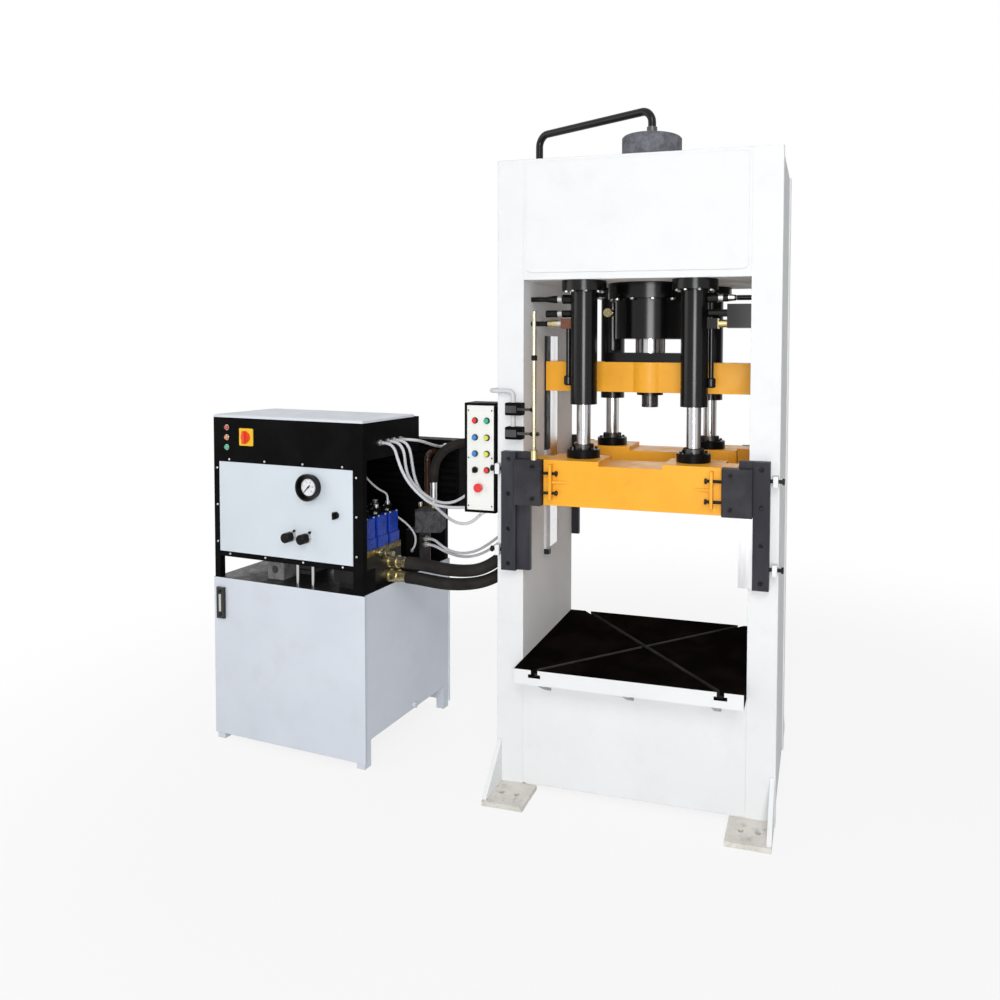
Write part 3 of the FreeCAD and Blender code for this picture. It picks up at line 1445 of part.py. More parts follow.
def routes():
    """Route points of every free cord, from exit to exit."""
    out = unit_way(1, 0)
    left, down = (-1.0, 0.0, 0.0), (0.0, 0.0, -1.0)
    away = hose_end_direction()
    tail = tuple(riser_foot() + away * hose_tail)
    low, high = hose_port_levels
    port_z = side_port_bottom - hose_tail
    boxes = [unit_point(gland_length, v, gland_z) for v in gland_vs]
    walls = [(-half_width + web_recess - gland_length, y, z) for y, z in wall_glands]
    sensors = [unit_point(gland_length, filter_v, z) for z in sensor_levels]
    fan = unit_point(fan_cable_u, cooler_front - gland_length, fan_cable_z)
    slope = math.sqrt(0.5)
    nose = gland_length + gland_radius
    box_start = (box_cable_x + gland_radius, box_cable_y, box_bottom + gland_radius)
    box_end = led(box_start, (-slope, 0, -slope), nose)
    return {
        "main_hose": free_route(
            unit_point(port_u, port_v, port_stub_top), (0, 0, 1),
            [(-1149, 134, 1445), (-1079, 159, 1488), (-997, 187, 1496)],
            tail, tuple(away), (86, 75)),
        "feed_hose": free_route(
            hose_exit(high), out,
            [(-1041, -205, 934), (-978, -164, 912), (-905, -114, 896), (-838, -78, 898),
             (-772, -52, 930), (-706, -36, 988)],
            (-side_hose_x, side_port_ys[0], port_z), down, (52, 56)),
        "return_hose": free_route(
            hose_exit(low), out,
            [(-1041, -204, 862), (-978, -160, 840), (-905, -104, 827), (-838, -54, 828),
             (-774, -12, 850), (-712, 22, 905), (-674, 34, 980)],
            (-side_hose_x, side_port_ys[1], port_z), down, (52, 60)),
        "conduits": [
            free_route(
                boxes[0], out,
                [(-1186, -303, 1528), (-1168, -305, 1509), (-1157, -305, 1476), (-1138, -300, 1415),
                 (-1104, -290, 1350), (-1058, -279, 1299), (-1012, -252, 1250), (-950, -202, 1226),
                 (-890, -165, 1221),
                 (-828, -140, 1224), (-768, -128, 1240), (-715, -125, 1266)],
                walls[0], left, (24, 32)),
            free_route(
                boxes[1], out,
                [(-1181, -243, 1528), (-1163, -244, 1509), (-1153, -243, 1477), (-1149, -240, 1417),
                 (-1133, -234, 1360), (-1094, -216, 1307), (-1048, -190, 1262), (-1000, -158, 1234),
                 (-945, -125, 1237), (-890, -100, 1275),
                 (-835, -88, 1325), (-775, -83, 1365), (-715, -80, 1390)],
                walls[1], left, (24, 32)),
            free_route(
                boxes[2], out,
                [(-1176, -193, 1528), (-1158, -194, 1509), (-1148, -192, 1476), (-1141, -188, 1412),
                 (-1133, -180, 1352), (-1113, -172, 1298), (-1075, -166, 1254), (-1018, -174, 1214),
                 (-950, -212, 1184), (-872, -262, 1168), (-800, -292, 1174)],
                box_end, (-slope, 0, -slope), (24, 40)),
            free_route(
                boxes[3], out,
                [unit_point(75, 295, 1536), unit_point(88, 318, 1531), unit_point(90, 360, 1520),
                 unit_point(84, 430, 1500), unit_point(66, 500, 1484), unit_point(48, 552, 1474)],
                fan, unit_way(0, -1), (26, 34))],
        "sensor_cables": [
            free_route(
                sensors[1], out,
                [(-1125, 73, 962), (-1062, 70, 934), (-990, 72, 929), (-920, 78, 948),
                 (-862, 85, 984), (-808, 91, 1026), (-760, 95, 1062), (-712, 96, 1082)],
                walls[2], left, (34, 36)),
            free_route(
                sensors[0], out,
                [(-1115, 85, 932), (-1050, 94, 908), (-980, 103, 904), (-910, 112, 924),
                 (-850, 121, 962), (-796, 128, 1008), (-745, 131, 1052), (-705, 131, 1080)],
                walls[3], left, (34, 34))]}


def lead_routes():
    """Route points of the two thin leads of the rear valve."""
    u, v = valve_place(valve_count - 1)
    top = tank_top + block_stand + block_height + valve_height
    coil = unit_point(u + valve_length / 4, v, top + coil_length)
    rear = unit_point(u + valve_length / 4, v + valve_width / 2 - 3, lead_level)
    start = unit_point(lead_gland_u, lead_gland_v, electric_bottom - gland_length)
    post = unit_point(lead_end_u, filter_v - filter_post / 2, lead_end_z)
    return [
        free_route(start, (0, 0, -1),
                   [unit_point(-96, 125, 1382), unit_point(-82, 170, 1330), unit_point(-74, 225, 1288),
                    unit_point(-73, 270, 1268)],
                   coil, (0, 0, 1), (24, 26)),
        free_route(rear, unit_way(0, 1),
                   [unit_point(-66, 378, 1118), unit_point(-24, 404, 1074), unit_point(4, 420, 1022),
                    unit_point(-4, 424, 968)],
                   post, unit_way(0, -1), (24, 26))]


def cords():
    """Tubes of the free hoses, conduits and cables."""
    way = routes()
    return {
        "main_hose": cord("main_hose", way["main_hose"], main_hose_diameter),
        "feed_hose": cord("feed_hose", way["feed_hose"], side_hose_diameter),
        "return_hose": cord("return_hose", way["return_hose"], side_hose_diameter),
        "control_conduits": compound([cord("conduit", p, conduit_diameter) for p in way["conduits"]]
                                     + [cord("lead", p, lead_diameter) for p in lead_routes()]),
        "sensor_cables": compound([cord("cable", p, conduit_diameter)
                                   for p in way["sensor_cables"]])}


def build():
    """Every node of the machine by name."""
    places = button_places()
    nodes = {
        "side_frame_left": side_frame_left(),
        "side_frame_right": side_frame(1),
        "crown_box": crown_box(),
        "crown_cover": crown_cover(),
        "bed_box": bed_box(),
        "bolster_plate": bolster_plate(),
        "foot_plates": compound(four_corners(foot_plate())),
        "guide_rails": compound(four_corners(guide_rail())),
        "jack_screws": jack_screws(),
        "slide_guides": slide_guides(),
        "main_cylinder": main_cylinder(),
        "cylinder_cap": cylinder_cap(),
        "hold_cylinders": compound(four_corners(hold_cylinder())),
        "pressure_pipes": pressure_pipes(),
        "pipe_fittings": pipe_fittings(),
        "limit_switches": limit_switches(),
        "control_box": control_box(),
        "control_panel": control_panel(),
        "oil_tank": oil_tank(),
        "unit_cabinet": unit_cabinet(),
        "cabinet_roof": cabinet_roof(),
        "instrument_panel": instrument_panel(),
        "pilot_lamps": pilot_lamps(),
        "pressure_gauge": pressure_gauge(),
        "pump_motor": pump_motor(),
        "valve_block": valve_block(),
        "directional_valves": directional_valves(),
        "solenoid_coils": solenoid_coils(),
        "hose_fittings": hose_fittings(),
        "oil_cooler": oil_cooler(),
        "cable_glands": cable_glands(),
        "blank_holder": blank_holder(),
        "guide_shoes": compound(four_corners(guide_shoe())),
        "gib_screws": gib_screws(),
        "hold_rods": compound(four_corners(hold_rod())),
        "trip_rod": trip_rod(),
        "main_ram": main_ram(),
        "slide_beam": slide_beam(),
        "ram_clamps": ram_clamps(),
        "lower_switch_lever": switch_lever(0),
        "upper_switch_lever": switch_lever(1),
        "mode_selector": mode_selector(),
        "emergency_stop": push_button(stop_place(), stop_radius, stop_height, stop_travel),
        "main_switch_handle": main_switch_handle(),
        "key_switch": key_switch(),
        "relief_knob_left": relief_knob(0),
        "relief_knob_right": relief_knob(1),
        "gauge_needle": gauge_needle()}
    names = ["red_button_upper", "green_button", "blue_button_upper", "yellow_button_upper",
             "blue_button_lower", "yellow_button_lower", None, "red_button_lower"]
    for name, place in zip(names, places):
        if name:
            nodes[name] = push_button(place, button_radius, button_height, button_travel)
    nodes.update(cords())
    return nodes


os.makedirs("parts", exist_ok=True)
for name, shape in build().items():
    shape.exportStep("parts/" + name + ".step")
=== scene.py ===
import logging
import math
from dataclasses import dataclass
from enum import Enum

import bmesh
import bpy
from mathutils import Matrix, Vector


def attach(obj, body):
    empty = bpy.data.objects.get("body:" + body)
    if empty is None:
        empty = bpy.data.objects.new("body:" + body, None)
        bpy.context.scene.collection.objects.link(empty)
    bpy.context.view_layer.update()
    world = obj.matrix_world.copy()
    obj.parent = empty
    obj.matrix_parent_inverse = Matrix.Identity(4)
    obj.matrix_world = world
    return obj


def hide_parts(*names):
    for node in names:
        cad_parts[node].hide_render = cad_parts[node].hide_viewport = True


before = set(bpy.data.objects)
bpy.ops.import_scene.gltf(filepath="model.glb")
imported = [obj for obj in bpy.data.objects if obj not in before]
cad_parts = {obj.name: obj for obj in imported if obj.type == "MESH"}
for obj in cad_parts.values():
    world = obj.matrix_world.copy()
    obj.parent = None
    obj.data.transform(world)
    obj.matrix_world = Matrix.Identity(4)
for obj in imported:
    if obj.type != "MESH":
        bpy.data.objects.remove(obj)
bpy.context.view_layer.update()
LOG = logging.getLogger("press")

Point = tuple[float, float, float]
Colour = tuple[float, float, float]
Socket = bpy.types.NodeSocket

# Front right corner of the power unit, and its turn about Z
UNIT_X = -1.2713
UNIT_Y = -0.4160
UNIT_TURN = math.radians(-5.263)


def on_unit(u: float, v: float, z: float) -> Point:
    """A point given in the power unit's own frame, as a point of the press frame."""
    return (UNIT_X + u * math.cos(UNIT_TURN) - v * math.sin(UNIT_TURN),
            UNIT_Y + u * math.sin(UNIT_TURN) + v * math.cos(UNIT_TURN), z)


UNIT_FRONT: Point = (math.sin(UNIT_TURN), -math.cos(UNIT_TURN), 0.0)
WHITE: Colour = (1.0, 1.0, 1.0)
UP: Point = (0.0, 0.0, 1.0)
DOWN: Point = (0.0, 0.0, -1.0)
FRONT: Point = (0.0, -1.0, 0.0)
RIGHT: Point = (1.0, 0.0, 0.0)

# Noise levels between which each layer of a finish comes in, and the same for worn edges
DRIFT_BAND = (0.38, 0.66)
SPECK_BAND = (0.35, 0.75)
STAIN_BAND = (0.50, 0.78)
CHIP_BAND = (0.48, 0.62)
GLOSS_BAND = (0.30, 0.70)
EDGE_BAND = (0.995, 0.90)

# The three valves, in the power unit's frame: their middles, and the top of their coils
COIL_ROWS: tuple[float, ...] = (0.108, 0.200, 0.292)
COIL_TOP = 1.169


class Surface(Enum):
    """What light meets first on a finish."""

    COVER = "paint, plastic or rubber"
    METAL = "bare metal"


def put(name: str, data: bpy.types.ID) -> bpy.types.Object:
    """Put a new object in the scene.

    Args:
        name: name of the object.
        data: its mesh, curve, lamp or camera.

    Returns:
        The object.
    """
    made = bpy.data.objects.new(name, data)
    bpy.context.scene.collection.objects.link(made)
    return made


class Graph:
    """Tree of nodes, with short calls for the nodes that the finishes share."""

    def __init__(self, tree: bpy.types.NodeTree) -> None:
        """Start an empty graph.

        Args:
            tree: node tree of a material, of the world or of a modifier.
        """
        self.nodes, self.links = tree.nodes, tree.links
        self.nodes.clear()

    @classmethod
    def of(cls, owner: bpy.types.Material | bpy.types.World) -> "Graph":
        """Graph of a material or of the world."""
        owner.use_nodes = True
        return cls(owner.node_tree)

    def feed(self, target: Socket, value: object) -> None:
        """Give a socket a number, a colour or another socket's output.

        Args:
            target: input socket.
            value: number, tuple or output socket.
        """
        if isinstance(value, bpy.types.NodeSocket):
            self.links.new(value, target)
        elif isinstance(value, (tuple, list)) and len(value) == 3 and target.type == "RGBA":
            target.default_value = (*value, 1.0)
        else:
            target.default_value = value

    def add(self, kind: str, feeds: dict[int | str, object] | None = None,
            **settings: object) -> bpy.types.Node:
        """Add a node.

        Args:
            kind: type of the node.
            feeds: value or output socket for each input, by its name or number.
            settings: properties of the node.

        Returns:
            The node.
        """
        node = self.nodes.new(kind)
        for key, setting in settings.items():
            setattr(node, key, setting)
        for key, value in (feeds or {}).items():
            self.feed(node.inputs[key], value)
        return node

    def place(self) -> Socket:
        """The object's own coordinates."""
        return self.add("ShaderNodeTexCoord").outputs["Object"]

    def noise(self, scale: float, detail: float = 3.0, rough: float = 0.5,
              stretch: Point = (1, 1, 1)) -> Socket:
        """Fractal noise on the object's own coordinates.

        Args:
            scale: noise cells in a metre.
            detail: octaves.
            rough: share that each octave keeps.
            stretch: scale of each axis, for brushed or streaked surfaces.

        Returns:
            The noise value, from 0 to 1.
        """
        mapping = self.add("ShaderNodeMapping", {"Vector": self.place(), "Scale": stretch})
        return self.add("ShaderNodeTexNoise", {
            "Vector": mapping.outputs[0], "Scale": scale, "Detail": detail,
            "Roughness": rough}).outputs["Fac"]

    def step(self, value: Socket, low: float, high: float, out_low: float = 0.0,
             out_high: float = 1.0) -> Socket:
        """Map a range smoothly onto another and clamp it.

        Args:
            value: value to map.
            low: input that gives out_low.
            high: input that gives out_high.
            out_low: lowest result.
            out_high: highest result.

        Returns:
            The mapped value.
        """
        return self.add("ShaderNodeMapRange", {
            "Value": value, "From Min": low, "From Max": high, "To Min": out_low,
            "To Max": out_high}, interpolation_type="SMOOTHSTEP").outputs["Result"]

    def calc(self, kind: str, first: object, second: object) -> Socket:
        """Arithmetic of that kind on two numbers or sockets."""
        return self.add("ShaderNodeMath", {0: first, 1: second}, operation=kind).outputs[0]

    def blend(self, share: object, first: object, second: object) -> Socket:
        """Mix of two colours; the share is that of the second."""
        return self.add("ShaderNodeMix", {0: share, 6: first, 7: second}, data_type="RGBA").outputs[2]

    def lean(self, share: object, first: object, second: object) -> Socket:
        """Mix of two values; the share is that of the second."""
        return self.add("ShaderNodeMix", {0: share, 2: first, 3: second}).outputs[0]

    def layer(self, share: object, first: Socket, second: Socket) -> Socket:
        """Mix of two shaders; the share is that of the second."""
        return self.add("ShaderNodeMixShader", {0: share, 1: first, 2: second}).outputs[0]

    def seen(self) -> Socket:
        """Mask of the rays that show the background: camera, glossy and transmission rays."""
        rays = self.add("ShaderNodeLightPath").outputs
        seen = self.calc("MAXIMUM", rays["Is Camera Ray"], rays["Is Glossy Ray"])
        return self.calc("MAXIMUM", seen, rays["Is Transmission Ray"])

    def inside(self, zone: "Zone") -> Socket:
        """Mask of a box in the object's own coordinates, or in those of the power unit.

        Args:
            zone: the box.

        Returns:
            A mask that is 1 inside the box.
        """
        place = self.place()
        if zone.unit:
            shift = self.add("ShaderNodeVectorMath", {0: place, 1: (UNIT_X, UNIT_Y, 0.0)},
                             operation="SUBTRACT")
            place = self.add("ShaderNodeVectorRotate", {"Vector": shift.outputs[0], "Angle": -UNIT_TURN},
                             rotation_type="Z_AXIS").outputs[0]
        axes = self.add("ShaderNodeSeparateXYZ", {0: place}).outputs
        mask = None
        for axis, low, high in zip(axes, zone.low, zone.high):
            for kind, limit in (("GREATER_THAN", low), ("LESS_THAN", high)):
                if limit is not None:
                    side = self.calc(kind, axis, limit)
                    mask = side if mask is None else self.calc("MULTIPLY", mask, side)
        return mask

    def edges(self, radius: float) -> tuple[Socket, Socket]:
        """Softened normals near edges and a mask of those edges.

        Args:
            radius: rounding radius in metres.

        Returns:
            The rounded normal, and a mask that is 1 on the edges.
        """
        soft = self.add("ShaderNodeBevel", {"Radius": radius}, samples=4).outputs[0]
        true = self.add("ShaderNodeNewGeometry").outputs["Normal"]
        dot = self.add("ShaderNodeVectorMath", {0: soft, 1: true}, operation="DOT_PRODUCT")
        return soft, self.step(dot.outputs["Value"], *EDGE_BAND)

    def bump(self, height: Socket, distance: float, normal: Socket) -> Socket:
        """Bump from a height value.

        Args:
            height: height, from 0 to 1.
            distance: real height of that range in metres.
            normal: normal to start from.

        Returns:
            The bumped normal.
        """
        return self.add("ShaderNodeBump", {
            "Strength": 1.0, "Distance": distance, "Height": height, "Normal": normal}).outputs[0]


@dataclass(frozen=True)
class Zone:
    """Box with a finish of its own; a limit that is None is left open."""

    finish: str
    low: tuple[float | None, float | None, float | None] = (None, None, None)
    high: tuple[float | None, float | None, float | None] = (None, None, None)
    unit: bool = False


@dataclass(frozen=True)
class Finish:
    """A finish of the press: colour, its drift, grime, worn edges, grain and gloss."""

    name: str
    colour: Colour
    second: Colour
    surface: Surface = Surface.COVER
    rough: float = 0.45
    rough_drift: float = 0.12
    drift_scale: float = 7.0
    grime: Colour | None = None
    grime_share: float = 0.5
    wear: Colour | None = None
    wear_share: float = 0.6
    edge: float = 0.0012
    grain: float = 260.0
    grain_depth: float = 0.00012
    stretch: Point = (1.0, 1.0, 1.0)
    coat: float = 0.0
    coat_rough: float = 0.12
    coat_index: float = 1.4
    tint: float = 0.35
    specular: float = 0.5
    speckle: float = 0.16
    speckle_shade: float = 0.82     # share of the second colour that a speckle keeps
    speckle_scale: float = 0.6      # speckles for each cell of the grain
    stain_scale: float = 2.3        # stains, chips and gloss patches for each cell of the drift
    chip_scale: float = 9.0
    gloss_scale: float = 3.0
    least_rough: float = 0.03

    def colours(self, graph: Graph, edge_mask: Socket) -> Socket:
        """Colour with its drift, grime and worn edges.

        Args:
            graph: graph of the material.
            edge_mask: mask of the edges.

        Returns:
            The colour.
        """
        patches = graph.step(graph.noise(self.drift_scale, 4, 0.55, self.stretch), *DRIFT_BAND)
        colour = graph.blend(patches, self.colour, self.second)
        specks = graph.noise(self.grain * self.speckle_scale, 2, 0.6)
        speckle = graph.step(specks, *SPECK_BAND, 0.0, self.speckle)
        colour = graph.blend(speckle, colour, tuple(c * self.speckle_shade for c in self.second))
        if self.grime is not None:
            stains = graph.step(graph.noise(self.drift_scale * self.stain_scale, 6, 0.62), *STAIN_BAND)
            colour = graph.blend(graph.calc("MULTIPLY", stains, self.grime_share), colour, self.grime)
        if self.wear is not None:
            chips = graph.step(graph.noise(self.drift_scale * self.chip_scale, 4, 0.65), *CHIP_BAND)
            share = graph.calc("MULTIPLY", graph.calc("MULTIPLY", chips, edge_mask), self.wear_share)
            colour = graph.blend(share, colour, self.wear)
        return colour

    def roughness(self, graph: Graph) -> Socket:
        """Roughness with its drift."""
        patches = graph.noise(self.drift_scale * self.gloss_scale, 5, 0.6, self.stretch)
        return graph.step(patches, *GLOSS_BAND, max(self.least_rough, self.rough - self.rough_drift),
                          min(1.0, self.rough + self.rough_drift))

    def metal(self) -> float:
        """1 for bare metal, 0 for all else."""
        return 1.0 if self.surface is Surface.METAL else 0.0

    def build(self, name: str, zones: tuple[Zone, ...] = ()) -> bpy.types.Material:
        """Make the material.

        Args:
            name: name of the material.
            zones: boxes with other finishes, the last on top.

        Returns:
            The node material.
        """
        material = bpy.data.materials.new(name)
        graph = Graph.of(material)
        normal, edge_mask = graph.edges(self.edge)
        colour, rough, metal = self.colours(graph, edge_mask), self.roughness(graph), self.metal()
        for zone in zones:
            other, mask = Finishes.listed[zone.finish], graph.inside(zone)
            colour = graph.blend(mask, colour, other.colours(graph, edge_mask))
            rough = graph.lean(mask, rough, other.roughness(graph))
            if isinstance(metal, bpy.types.NodeSocket) or metal != other.metal():
                metal = graph.lean(mask, metal, other.metal())
        grain = graph.noise(self.grain, 3, 0.6, self.stretch)
        looks = {"Base Color": colour, "Roughness": rough, "Metallic": metal,
                 "Specular IOR Level": self.specular,
                 "Normal": graph.bump(grain, self.grain_depth, normal)}
        if self.coat:
            looks |= {"Coat Weight": self.coat, "Coat Roughness": self.coat_rough,
                      "Coat IOR": self.coat_index}
        if self.surface is Surface.METAL:
            looks["Specular Tint"] = (self.tint,) * 3
        shader = graph.add("ShaderNodeBsdfPrincipled", looks)
        graph.add("ShaderNodeOutputMaterial", {"Surface": shader.outputs[0]})
        return material


class Finishes:
    """All finishes of the object, each made once when it is first asked for."""

    made: dict[str, bpy.types.Material] = {}
    listed: dict[str, Finish] = {f.name: f for f in (
        Finish("frame_enamel", (0.77, 0.782, 0.792), (0.75, 0.762, 0.772), rough=0.6, drift_scale=3.0,
               grime=(0.55, 0.52, 0.48), grime_share=0.10, wear=(0.45, 0.44, 0.43), wear_share=0.3,
               edge=0.003, specular=0.05, speckle=0.08),
        # painted shade: darker grey enamel standing in for the shade on the ribs under the bed's ledge
        Finish("rib_enamel", (0.46, 0.46, 0.47), (0.38, 0.38, 0.39), rough=0.6, specular=0.05),
        Finish("foot_enamel", (0.70, 0.68, 0.63), (0.60, 0.58, 0.53), rough=0.55, drift_scale=12,
               grime=(0.2, 0.18, 0.16), grime_share=0.5, wear=(0.3, 0.29, 0.28), edge=0.002),
        Finish("amber_enamel", (0.85, 0.40, 0.028), (0.82, 0.375, 0.025), rough=0.42, drift_scale=4.0,
               grime=(0.30, 0.11, 0.02), grime_share=0.12, wear=(0.25, 0.1, 0.03), edge=0.002, specular=0.3,
               speckle=0.08),
        Finish("black_gloss", (0.002, 0.002, 0.0023), (0.0035, 0.0035, 0.0038), rough=0.34,
               rough_drift=0.05, wear=(0.10, 0.10, 0.11), wear_share=0.25, edge=0.0012,
               grain_depth=0.00003, specular=0.0, coat=0.8, coat_rough=0.2),
        Finish("black_satin", (0.0035, 0.0035, 0.004), (0.006, 0.006, 0.0065), rough=0.45, specular=0.02,
               wear=(0.08, 0.08, 0.08), wear_share=0.2, edge=0.001),
        Finish("black_table", (0.0035, 0.0026, 0.0026), (0.0075, 0.006, 0.0055), rough=0.6, specular=0.0,
               drift_scale=5.0, wear=(0.16, 0.16, 0.16), wear_share=0.5, edge=0.001),
        # painted shade: the slots' grey is darkened for the shade inside them
        Finish("slot_grey", (0.060, 0.058, 0.055), (0.035, 0.034, 0.032), rough=0.6, edge=0.001,
               specular=0.1),
        Finish("bright_steel", (0.95, 0.95, 0.96), (0.88, 0.88, 0.90), Surface.METAL, rough=0.3, tint=0.8,
               stretch=(1, 1, 0.1)),
        Finish("black_oxide", (0.010, 0.010, 0.011), (0.022, 0.021, 0.02), rough=0.4, specular=0.12,
               wear=(0.3, 0.3, 0.31), wear_share=0.6, edge=0.0012),
        Finish("shoe_black", (0.028, 0.027, 0.033), (0.044, 0.042, 0.048), rough=0.5, specular=0.12,
               wear=(0.2, 0.2, 0.21), wear_share=0.4, edge=0.0015, grain=180, grain_depth=0.0002),
        Finish("rail_black", (0.024, 0.024, 0.031), (0.048, 0.048, 0.058), rough=0.45, specular=0.12,
               wear=(0.25, 0.25, 0.26), wear_share=0.5, edge=0.0012, stretch=(1, 1, 0.15)),
        Finish("cast_grey", (0.17, 0.175, 0.20), (0.10, 0.10, 0.115), rough=0.7, grain=150, specular=0.2,
               drift_scale=26, grain_depth=0.0008, edge=0.002, speckle=0.5),
        Finish("brown_pipe", (0.055, 0.022, 0.012), (0.035, 0.014, 0.008), rough=0.5, specular=0.1,
               drift_scale=30),
        Finish("cast_dark", (0.10, 0.098, 0.104), (0.05, 0.048, 0.052), rough=0.7, grain=220, specular=0.1,
               drift_scale=40, grain_depth=0.0006, edge=0.0015, speckle=0.6),
        Finish("machine_grey", (0.085, 0.083, 0.088), (0.055, 0.053, 0.056), rough=0.5, specular=0.25,
               edge=0.0015),
        Finish("block_grey", (0.20, 0.20, 0.205), (0.12, 0.12, 0.12), rough=0.6, specular=0.2,
               drift_scale=30, edge=0.0015, speckle=0.4),
        Finish("polished_steel", (0.58, 0.58, 0.59), (0.50, 0.50, 0.51), Surface.METAL, rough=0.17,
               rough_drift=0.05, tint=0.15, grain=900, grain_depth=0.00002, stretch=(1, 1, 0.05),
               edge=0.001),
        Finish("dark_steel", (0.10, 0.095, 0.095), (0.05, 0.048, 0.048), Surface.METAL, rough=0.38,
               edge=0.001, wear=(0.4, 0.4, 0.4)),
        Finish("ground_steel", (0.72, 0.72, 0.73), (0.60, 0.60, 0.61), Surface.METAL, rough=0.36,
               grain=700, grain_depth=0.00004, stretch=(1, 1, 0.08)),
        Finish("nickel", (0.86, 0.86, 0.84), (0.74, 0.74, 0.72), Surface.METAL, rough=0.38, tint=0.7,
               edge=0.0008),
        Finish("zinc", (0.62, 0.62, 0.61), (0.50, 0.50, 0.48), Surface.METAL, rough=0.34, edge=0.0008),
        Finish("brass", (0.64, 0.55, 0.30), (0.54, 0.45, 0.22), Surface.METAL, rough=0.32, edge=0.0008),
        Finish("pale_brass", (0.56, 0.52, 0.36), (0.48, 0.44, 0.30), Surface.METAL, rough=0.26,
               speckle=0.0, grain_depth=0.00001, tint=0.2, edge=0.0008),
        Finish("yellow_zinc", (0.74, 0.66, 0.40), (0.50, 0.42, 0.22), Surface.METAL, rough=0.36,
               drift_scale=55, edge=0.0008, grime=(0.05, 0.035, 0.02), grime_share=0.6),
        Finish("bar_zinc", (0.26, 0.21, 0.09), (0.10, 0.08, 0.04), Surface.METAL, rough=0.45,
               drift_scale=55, edge=0.0008, grime=(0.02, 0.015, 0.01), grime_share=0.8),
        Finish("rust_primer", (0.16, 0.065, 0.04), (0.11, 0.045, 0.03), rough=0.7, drift_scale=30),
        Finish("valve_blue", (0.006, 0.045, 0.42), (0.004, 0.03, 0.28), rough=0.34, drift_scale=25,
               edge=0.0015, specular=0.35, grime=(0.004, 0.01, 0.05), grime_share=0.5),
        Finish("tank_enamel", (0.66, 0.70, 0.77), (0.63, 0.67, 0.74), rough=0.42, drift_scale=3.0,
               grime=(0.35, 0.34, 0.33), grime_share=0.10, wear=(0.25, 0.25, 0.25), edge=0.002, coat=0.1,
               speckle=0.08),
        Finish("panel_grey", (0.66, 0.72, 0.78), (0.64, 0.70, 0.76), rough=0.42, drift_scale=3.0,
               grain=420, grain_depth=0.00004, grime=(0.4, 0.4, 0.4), grime_share=0.06, edge=0.001,
               speckle=0.06),
        Finish("panel_white", (0.80, 0.81, 0.78), (0.77, 0.78, 0.75), rough=0.4, grain=420,
               grain_depth=0.00004, edge=0.001, speckle=0.06),
        Finish("roof_grey", (0.70, 0.74, 0.80), (0.67, 0.71, 0.77), rough=0.42, drift_scale=3.0,
               edge=0.0015, speckle=0.06),
        Finish("rubber", (0.020, 0.018, 0.017), (0.034, 0.030, 0.028), rough=0.65,
               grain=420, grain_depth=0.00025, specular=0.06, speckle=0.4),
        Finish("conduit_grey", (0.64, 0.64, 0.67), (0.56, 0.56, 0.59), rough=0.48,
               grain=600, grain_depth=0.00005, specular=0.35),
        Finish("red_cap", (0.72, 0.030, 0.028), (0.64, 0.022, 0.02), rough=0.3, coat=0.2),
        Finish("green_cap", (0.03, 0.45, 0.30), (0.025, 0.38, 0.26), rough=0.3, coat=0.2),
        Finish("blue_cap", (0.03, 0.26, 0.60), (0.025, 0.21, 0.52), rough=0.3, coat=0.2),
        Finish("yellow_cap", (0.72, 0.70, 0.10), (0.64, 0.62, 0.08), rough=0.3, coat=0.2),
        Finish("yellow_plate", (0.90, 0.58, 0.05), (0.86, 0.54, 0.04), rough=0.35),
        Finish("handle_red", (0.80, 0.06, 0.015), (0.72, 0.05, 0.012), rough=0.35),
        Finish("black_cap", (0.006, 0.006, 0.0065), (0.010, 0.010, 0.0105), rough=0.35,
               specular=0.1),
        Finish("lamp_red", (0.55, 0.06, 0.05), (0.48, 0.05, 0.04), rough=0.15, coat=0.5),
        Finish("lamp_amber", (0.78, 0.30, 0.12), (0.7, 0.26, 0.1), rough=0.15, coat=0.5),
        Finish("lamp_green", (0.05, 0.50, 0.30), (0.04, 0.44, 0.26), rough=0.15, coat=0.5),
        Finish("dial_white", (0.80, 0.82, 0.84), (0.78, 0.80, 0.82), rough=0.35,
               speckle=0.03),
        Finish("ink", (0.01, 0.01, 0.012), (0.014, 0.014, 0.016), rough=0.5),
        Finish("sight_glass", (0.55, 0.55, 0.48), (0.45, 0.44, 0.36), rough=0.15,
               coat=0.5),
    )}

    @classmethod
    def of(cls, name: str) -> bpy.types.Material:
        """Material of that name."""
        if name not in cls.made:
            cls.made[name] = cls.listed[name].build(name)
        return cls.made[name]


